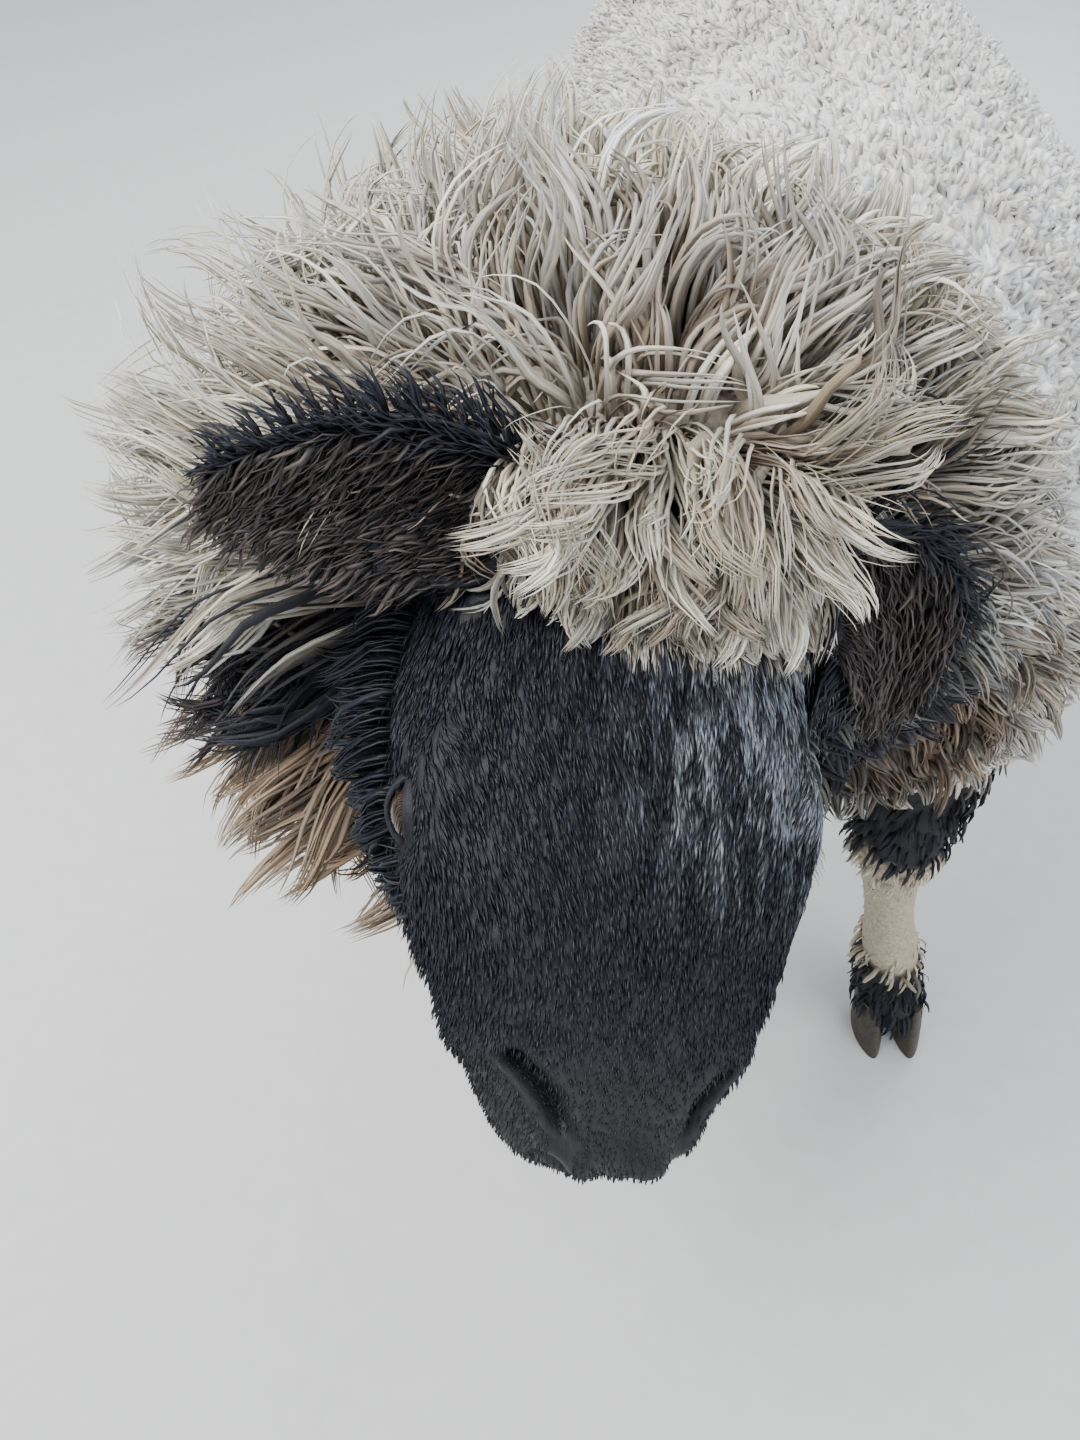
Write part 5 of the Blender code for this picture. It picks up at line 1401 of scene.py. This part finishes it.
def make_claw(which, side, outer, node, material):
    """One claw of a hoof: flat sole, sloping wall with growth rings, narrow toe, soft heel."""
    row = (FRONT_LEG if which == "front" else HIND_LEG)[-1]
    y, x = row[2] - 0.012, side * row[1]
    middle = x + outer * side * 0.5 * (CLAW_WIDTH + CLAW_SPACE)
    sides, levels = 36, 15
    rings = []
    for level in range(levels):
        share = max(level - 1, 0) / (levels - 2)
        ring = []
        for k in range(sides):
            angle = 2.0 * math.pi * k / sides
            along, across = math.cos(angle), math.sin(angle)
            top = HOOF_HEEL_HEIGHT + (HOOF_TOE_HEIGHT - HOOF_HEEL_HEIGHT) * (0.5 - 0.5 * along)
            height = share * (top + 0.002) if level else 0.0
            if level == 1:
                height = 0.0013
            scale = np.interp(height, (0.0, 0.02, 0.056), (1.0, 0.97, 0.82))
            scale *= 0.965 if level == 0 else 1.0
            scale += 0.01 * math.sin(height * 1300.0) * (level > 1)
            narrow = 1.0 - 0.3 * max(-along, 0.0) ** 2
            flat = 0.8 if across * outer * side < 0.0 else 1.0
            shift = CLAW_SLOPE * height / HOOF_TOE_HEIGHT
            ring.append((middle + 0.5 * CLAW_WIDTH * across * flat * narrow * scale,
                         y + shift + 0.5 * CLAW_LENGTH * along * scale, height))
        rings.append(ring)
    form = loft(rings)
    bmesh.ops.translate(form, verts=form.verts, vec=Vector(SHIFT))
    mesh = mesh_of("claw_" + node, form)
    mesh.shade_smooth()
    mesh.set_sharp_from_angle(angle=math.radians(50))
    add_piece("claw_" + node, mesh, material, "hoof_horn", node)


# Materials

class Nodes:
    """Short calls for building a material's nodes."""

    def __init__(self, name, roughness, specular=0.5):
        self.material = bpy.data.materials.new(name)
        self.material.use_nodes = True
        self.tree = self.material.node_tree
        self.shader = self.tree.nodes["Principled BSDF"]
        self.shader.inputs["Roughness"].default_value = roughness
        self.shader.inputs["Specular IOR Level"].default_value = specular

    def node(self, kind, **values):
        made = self.tree.nodes.new(kind)
        for key, value in values.items():
            if hasattr(made, key):
                setattr(made, key, value)
            else:
                made.inputs[key].default_value = value
        return made

    def link(self, out, into):
        self.tree.links.new(out, into)

    def math(self, operation, a, b=None, c=None):
        made = self.tree.nodes.new("ShaderNodeMath")
        made.operation = operation
        for socket, value in zip(made.inputs, (a, b, c)):
            if isinstance(value, (int, float)):
                socket.default_value = value
            elif value is not None:
                self.link(value, socket)
        return made.outputs[0]

    def noise(self, vector, scale, detail=2.0, roughness=0.5):
        made = self.node("ShaderNodeTexNoise", Scale=scale, Detail=detail, Roughness=roughness)
        self.link(vector, made.inputs["Vector"])
        return made.outputs["Fac"]

    def scaled(self, vector, sizes):
        made = self.node("ShaderNodeVectorMath", operation="MULTIPLY")
        self.link(vector, made.inputs[0])
        made.inputs[1].default_value = sizes
        return made.outputs[0]

    def attribute(self, name, output):
        made = self.tree.nodes.new("ShaderNodeAttribute")
        made.attribute_name = name
        return made.outputs[output]

    def mapped(self, value, start, end, low, high):
        """The value, carried from start..end to low..high."""
        ends = {"From Min": start, "From Max": end, "To Min": low, "To Max": high}
        made = self.node("ShaderNodeMapRange", **ends)
        self.link(value, made.inputs["Value"])
        return made.outputs[0]

    def times(self, colour, amount):
        made = self.node("ShaderNodeVectorMath", operation="SCALE")
        self.link(colour, made.inputs[0])
        self.link(amount, made.inputs["Scale"])
        return made.outputs[0]

    def shaded(self, colour, factor, low, high):
        """Colour times a noise, with the noise's middle half carried to low..high."""
        return self.times(colour, self.mapped(factor, 0.25, 0.75, low, high))

    def blend(self, factor, *stops):
        """Colour between two stops, each a position and a colour."""
        made = self.node("ShaderNodeValToRGB")
        for element, (position, colour) in zip(made.color_ramp.elements, stops):
            element.position, element.color = position, (*colour, 1.0)
        self.link(factor, made.inputs[0])
        return made.outputs[0]

    def bump(self, height, strength, distance, before=None):
        made = self.node("ShaderNodeBump", Strength=strength, Distance=distance)
        self.link(height, made.inputs["Height"])
        if before is not None:
            self.link(before, made.inputs["Normal"])
        return made.outputs[0]

    def done(self, colour, normal=None):
        self.link(colour, self.shader.inputs["Base Color"])
        if normal is not None:
            self.link(normal, self.shader.inputs["Normal"])
        return self.material


def tuft_material(name, roughness, specular, low, high, sheen=0.0, depth=0.0006):
    """Hair or wool: the marking's colour with fine streaks along each tuft."""
    made = Nodes(name, roughness, specular)
    streak = made.noise(made.attribute("fibre", "Vector"), 1.0, 4.0, 0.7)
    colour = made.shaded(made.attribute("coat", "Color"), streak, low, high)
    made.shader.inputs["Sheen Weight"].default_value = sheen
    made.shader.inputs["Sheen Roughness"].default_value = 0.5
    return made.done(colour, made.bump(streak, 0.6, depth))


def skin_material():
    """Skin under the coat: the marking's colour, streaked along the hair, with a bump of short hair."""
    made = Nodes("skin_coat", 0.6, 0.35)
    place = made.node("ShaderNodeTexCoord").outputs["Object"]
    streak = made.noise(made.attribute("fibre", "Vector"), 1.0, 4.0, 0.65)
    colour = made.shaded(made.attribute("coat", "Color"), streak, 0.55, 1.35)
    pores = made.noise(place, 900.0, 2.0, 0.6)
    return made.done(colour, made.bump(pores, 0.3, 0.0004, made.bump(streak, 0.6, 0.001)))


def eye_material():
    """Wet eye: amber iris with fine rays, a level slit pupil, a dark rim and brown white."""
    made = Nodes("eye_wet", 0.1, 0.25)
    made.shader.inputs["Coat Weight"].default_value = 0.45
    made.shader.inputs["Coat Roughness"].default_value = 0.04
    place = made.attribute("ball", "Vector")
    parts = made.node("ShaderNodeSeparateXYZ")
    made.link(place, parts.inputs[0])
    x, y = parts.outputs[0], parts.outputs[1]
    radius = made.math("SQRT", made.math("ADD", made.math("POWER", x, 2.0), made.math("POWER", y, 2.0)))
    angle = made.math("ARCTAN2", y, x)
    spoke = made.node("ShaderNodeCombineXYZ")
    made.link(made.math("MULTIPLY", angle, 9.0), spoke.inputs[0])
    made.link(made.math("MULTIPLY", radius, 160.0), spoke.inputs[1])
    rays = made.noise(spoke.outputs[0], 1.6, 4.0, 0.7)
    iris = made.blend(rays, (0.3, (0.016, 0.008, 0.004)), (0.72, (0.08, 0.04, 0.014)))
    wide = made.math("POWER", made.math("ABSOLUTE", made.math("DIVIDE", x, 0.0054)), 3.0)
    tall = made.math("POWER", made.math("ABSOLUTE", made.math("DIVIDE", y, 0.0022)), 3.0)
    outside = made.math("SUBTRACT", made.math("ADD", wide, tall), 0.85)
    slit = made.math("SMOOTH_MIN", made.math("MULTIPLY", outside, 4.0), 1.0, 0.1)
    pupil = made.math("MAXIMUM", slit, 0.0)
    rim = made.mapped(radius, 0.0088, 0.0106, 1.0, 0.1)
    return made.done(made.times(iris, made.math("MULTIPLY", pupil, rim)))


def hoof_material():
    """Dull dark horn with growth rings and streaks down the wall."""
    made = Nodes("hoof_wall", 0.48, 0.4)
    place = made.node("ShaderNodeTexCoord").outputs["Object"]
    bands = made.noise(made.scaled(place, (30.0, 30.0, 520.0)), 1.0, 3.0, 0.6)
    streaks = made.noise(made.scaled(place, (420.0, 420.0, 18.0)), 1.0, 3.0, 0.6)
    both = made.math("MULTIPLY_ADD", bands, 0.5, made.math("MULTIPLY", streaks, 0.5))
    horn = made.blend(both, (0.3, (0.016, 0.013, 0.011)), (0.75, (0.085, 0.066, 0.048)))
    return made.done(horn, made.bump(streaks, 0.3, 0.0004, made.bump(bands, 0.5, 0.0007)))


# The whole animal

def build_sheep():
    thing = make_skin()
    thing.data.shade_smooth()
    skin = Skin(thing)
    root, tip = colours(skin.points, skin.points + skin.normals * 0.07)
    local = HEAD_FRAME.places(skin.points)
    where = regions(skin.points)
    # The skin is painted between its root and tip colours. It is darker than the tufts as painted shade
    # between them, and darkest under the mop as painted shadow between its locks.
    shade = np.full(len(local), 0.25)
    shade = np.where(where["trunk"] | (where["neck"] & (ruff_fullness(skin.points) < 0.12)), 0.55, shade)
    shade = np.where(where["head"], np.where(under_mop(local) < 0.5, 0.3, 0.05), shade)
    paint(thing.data, mixed(root, tip, shade))
    fibre = np.where(where["head"][:, None], local * (60.0, 620.0, 620.0), skin.points * 330.0)
    mark(thing.data, "fibre", fibre)
    thing.data.materials.clear()
    thing.data.materials.append(skin_material())
    thing.data.polygons.foreach_set("material_index", np.zeros(len(thing.data.polygons), np.int32))

    wool = tuft_material("wool_long", 0.85, 0.25, 0.55, 1.3, 0.1, 0.001)
    fleece = tuft_material("wool_shorn", 0.9, 0.2, 0.75, 1.18, 0.1, 0.0004)
    hair = tuft_material("hair_black", 0.5, 0.3, 0.5, 1.5, 0.0, 0.0003)
    legs = tuft_material("hair_leg", 0.7, 0.35, 0.72, 1.2, 0.0, 0.0003)

    middles = regions(skin.middles)
    place = middles["local"]
    s, t, _ = place.T
    mop = middles["head"] & (under_mop(place) > 0.5) & (s > 0.204)
    cheek = middles["head"] & ~mop & (s > 0.095 + 0.01 * waves(place, 0.02, 33)) & (t > 0.046)
    away = eye_distance(skin.middles)
    face = middles["head"] & ~mop & (away > 0.017) & (s < 0.24) & ~bare_skin(place)
    long_neck = middles["neck"] & (ruff_fullness(skin.middles) > 0.12)
    short = middles["trunk"] | (middles["neck"] & ~long_neck)

    coat(skin, "mop", wool, "long_wool", mop, mop_style, head_unwrap, 31, spacing=0.0018, rings=9,
         width=0.0021, wave=0.0054, wavelength=0.042, guide_spacing=0.0088, clearance=0.004,
         gain=0.95, curl=0.65, stray=0.1, tint=0.22, loose_lie=0.24, broad=0.006)
    full = 0.8 + 1.1 * near(skin.middles, (-0.29, -0.4, 0.69), (0.07, 0.11, 0.09), 0.5)
    coat(skin, "ruff", wool, "long_wool", long_neck, ruff_style, body_unwrap, 41, spacing=0.0056,
         rings=10, width=0.0034, wave=0.0072, wavelength=0.062, guide_spacing=0.015, density=full,
         curl=0.7, stray=0.1, tint=0.14, loose_lie=0.28, broad=0.007)
    throat = long_neck * near(skin.middles, (-0.27, -0.38, 0.615), (0.07, 0.1, 0.08))
    coat(skin, "throat_wool", wool, "long_wool", throat, throat_style, body_unwrap, 45,
         spacing=0.0038, rings=8, width=0.0036, wave=0.006, wavelength=0.06, guide_spacing=0.013,
         curl=0.6, tint=0.1, loose_lie=0.22, broad=0.0085)
    side = long_neck * near(skin.middles, (-0.297, -0.39, 0.708), (0.035, 0.05, 0.036), 0.25)
    coat(skin, "side_wool", wool, "long_wool", side, side_style, body_unwrap, 47, spacing=0.0031,
         rings=8, width=0.0036, wave=0.006, wavelength=0.055, guide_spacing=0.012,
         share=(0.8, 0.95), curl=0.6, stray=0.05, tint=0.06, loose_lie=0.15, broad=0.008)
    coat(skin, "tail_wool", wool, "long_wool", middles["tail"], tail_style, body_unwrap, 51,
         spacing=0.008, rings=8, width=0.005, wave=0.006, wavelength=0.06, guide_spacing=0.018,
         clearance=0.004, curl=0.45, stray=0.1, tint=0.08, broad=0.01)
    coat(skin, "cheek_hair", hair, "black_hair", cheek, cheek_style, head_unwrap, 61,
         spacing=0.004, rings=5, width=0.0026, wave=0.0035, wavelength=0.045, guide_spacing=0.012,
         share=(0.5, 0.9), clearance=0.003, gain=0.75, curl=0.6, stray=0.12)
    coat(skin, "fleece", fleece, "shorn_fleece", short, trunk_style, body_unwrap, 71,
         spacing=0.0074, rings=2, width=0.006, wave=0.0016, wavelength=0.018, guide_spacing=0.014,
         share=(0.3, 0.6), clearance=0.0035, gain=0.9, curl=0.4, tint=0.05, sink=0.001)
    coat(skin, "leg_hair", legs, "leg_wool", middles["legs"], leg_style, leg_unwrap, 81,
         spacing=0.0092, rings=4, width=0.005, wave=0.0025, wavelength=0.025, guide_spacing=0.013,
         share=(0.3, 0.7), clearance=0.0, flat=0.6, gain=0.8, curl=0.3)
    coat(skin, "face_hair", hair, "black_hair", face, face_style, head_unwrap, 91, spacing=0.0022,
         rings=2, width=0.0011, wave=0.0003, wavelength=0.02, clearance=0.0012, gain=0.8,
         spread=0.18, sink=0.0006)
    ear_coat(hair)
    lashes(hair)

    thing.data.transform(Matrix.Translation(Vector(SHIFT)))
    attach(thing, "root")
    flesh = [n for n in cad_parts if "hoof" not in n and not n.startswith("eye")]
    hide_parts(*flesh)

    wet = eye_material()
    horn = hoof_material()
    for side, word in ((1, "left"), (-1, "right")):
        make_eye(side, word, wet)
        for which in LEG_SPAN:
            for outer, place_word in ((1, "outer"), (-1, "inner")):
                node = "%s_%s_hoof_%s" % (which, word, place_word)
                make_claw(which, side, outer, node, horn)


def make_stage():
    """Plain pale floor, soft lights and the camera at the photo's place."""
    floor_mesh = bpy.data.meshes.new("floor")
    corners = ((-1, -1), (1, -1), (1, 1), (-1, 1))
    floor_mesh.from_pydata([(x * FLOOR_HALF, y * FLOOR_HALF, 0) for x, y in corners], [], [(0, 1, 2, 3)])
    floor = placed("floor", floor_mesh)
    made = Nodes("floor_pale", 0.9, 0.2)
    place = made.node("ShaderNodeTexCoord").outputs["Object"]
    base = made.node("ShaderNodeRGB")
    base.outputs[0].default_value = FLOOR_COLOUR
    pale = made.shaded(base.outputs[0], made.noise(place, 40.0, 4.0), 0.97, 1.03)
    floor_mesh.materials.append(made.done(pale))

    world = bpy.data.worlds.new("studio")
    world.use_nodes = True
    sky = world.node_tree.nodes["Background"].inputs
    sky["Color"].default_value, sky["Strength"].default_value = SKY
    bpy.context.scene.world = world
    for name, place, power, side, colour in LAMPS:
        light = bpy.data.lights.new(name, "AREA")
        light.energy = power
        light.shape = "SQUARE"
        light.size = side
        light.color = colour
        lamp = placed(name, light)
        lamp.location = place
        lamp.rotation_mode = "QUATERNION"
        lamp.rotation_quaternion = (Vector(LAMPS_AIM) - Vector(place)).to_track_quat("-Z", "Y")

    camera = bpy.data.cameras.new("camera")
    camera.lens = CAMERA_LENS
    camera.sensor_width = 36.0
    camera.clip_start = 0.02
    viewer = placed("camera", camera)
    viewer.location = Vector(CAMERA_PLACE) + Vector(SHIFT)
    viewer.rotation_euler = (CAMERA_TILT, 0.0, 0.0)
    bpy.context.scene.camera = viewer


build_sheep()
make_stage()
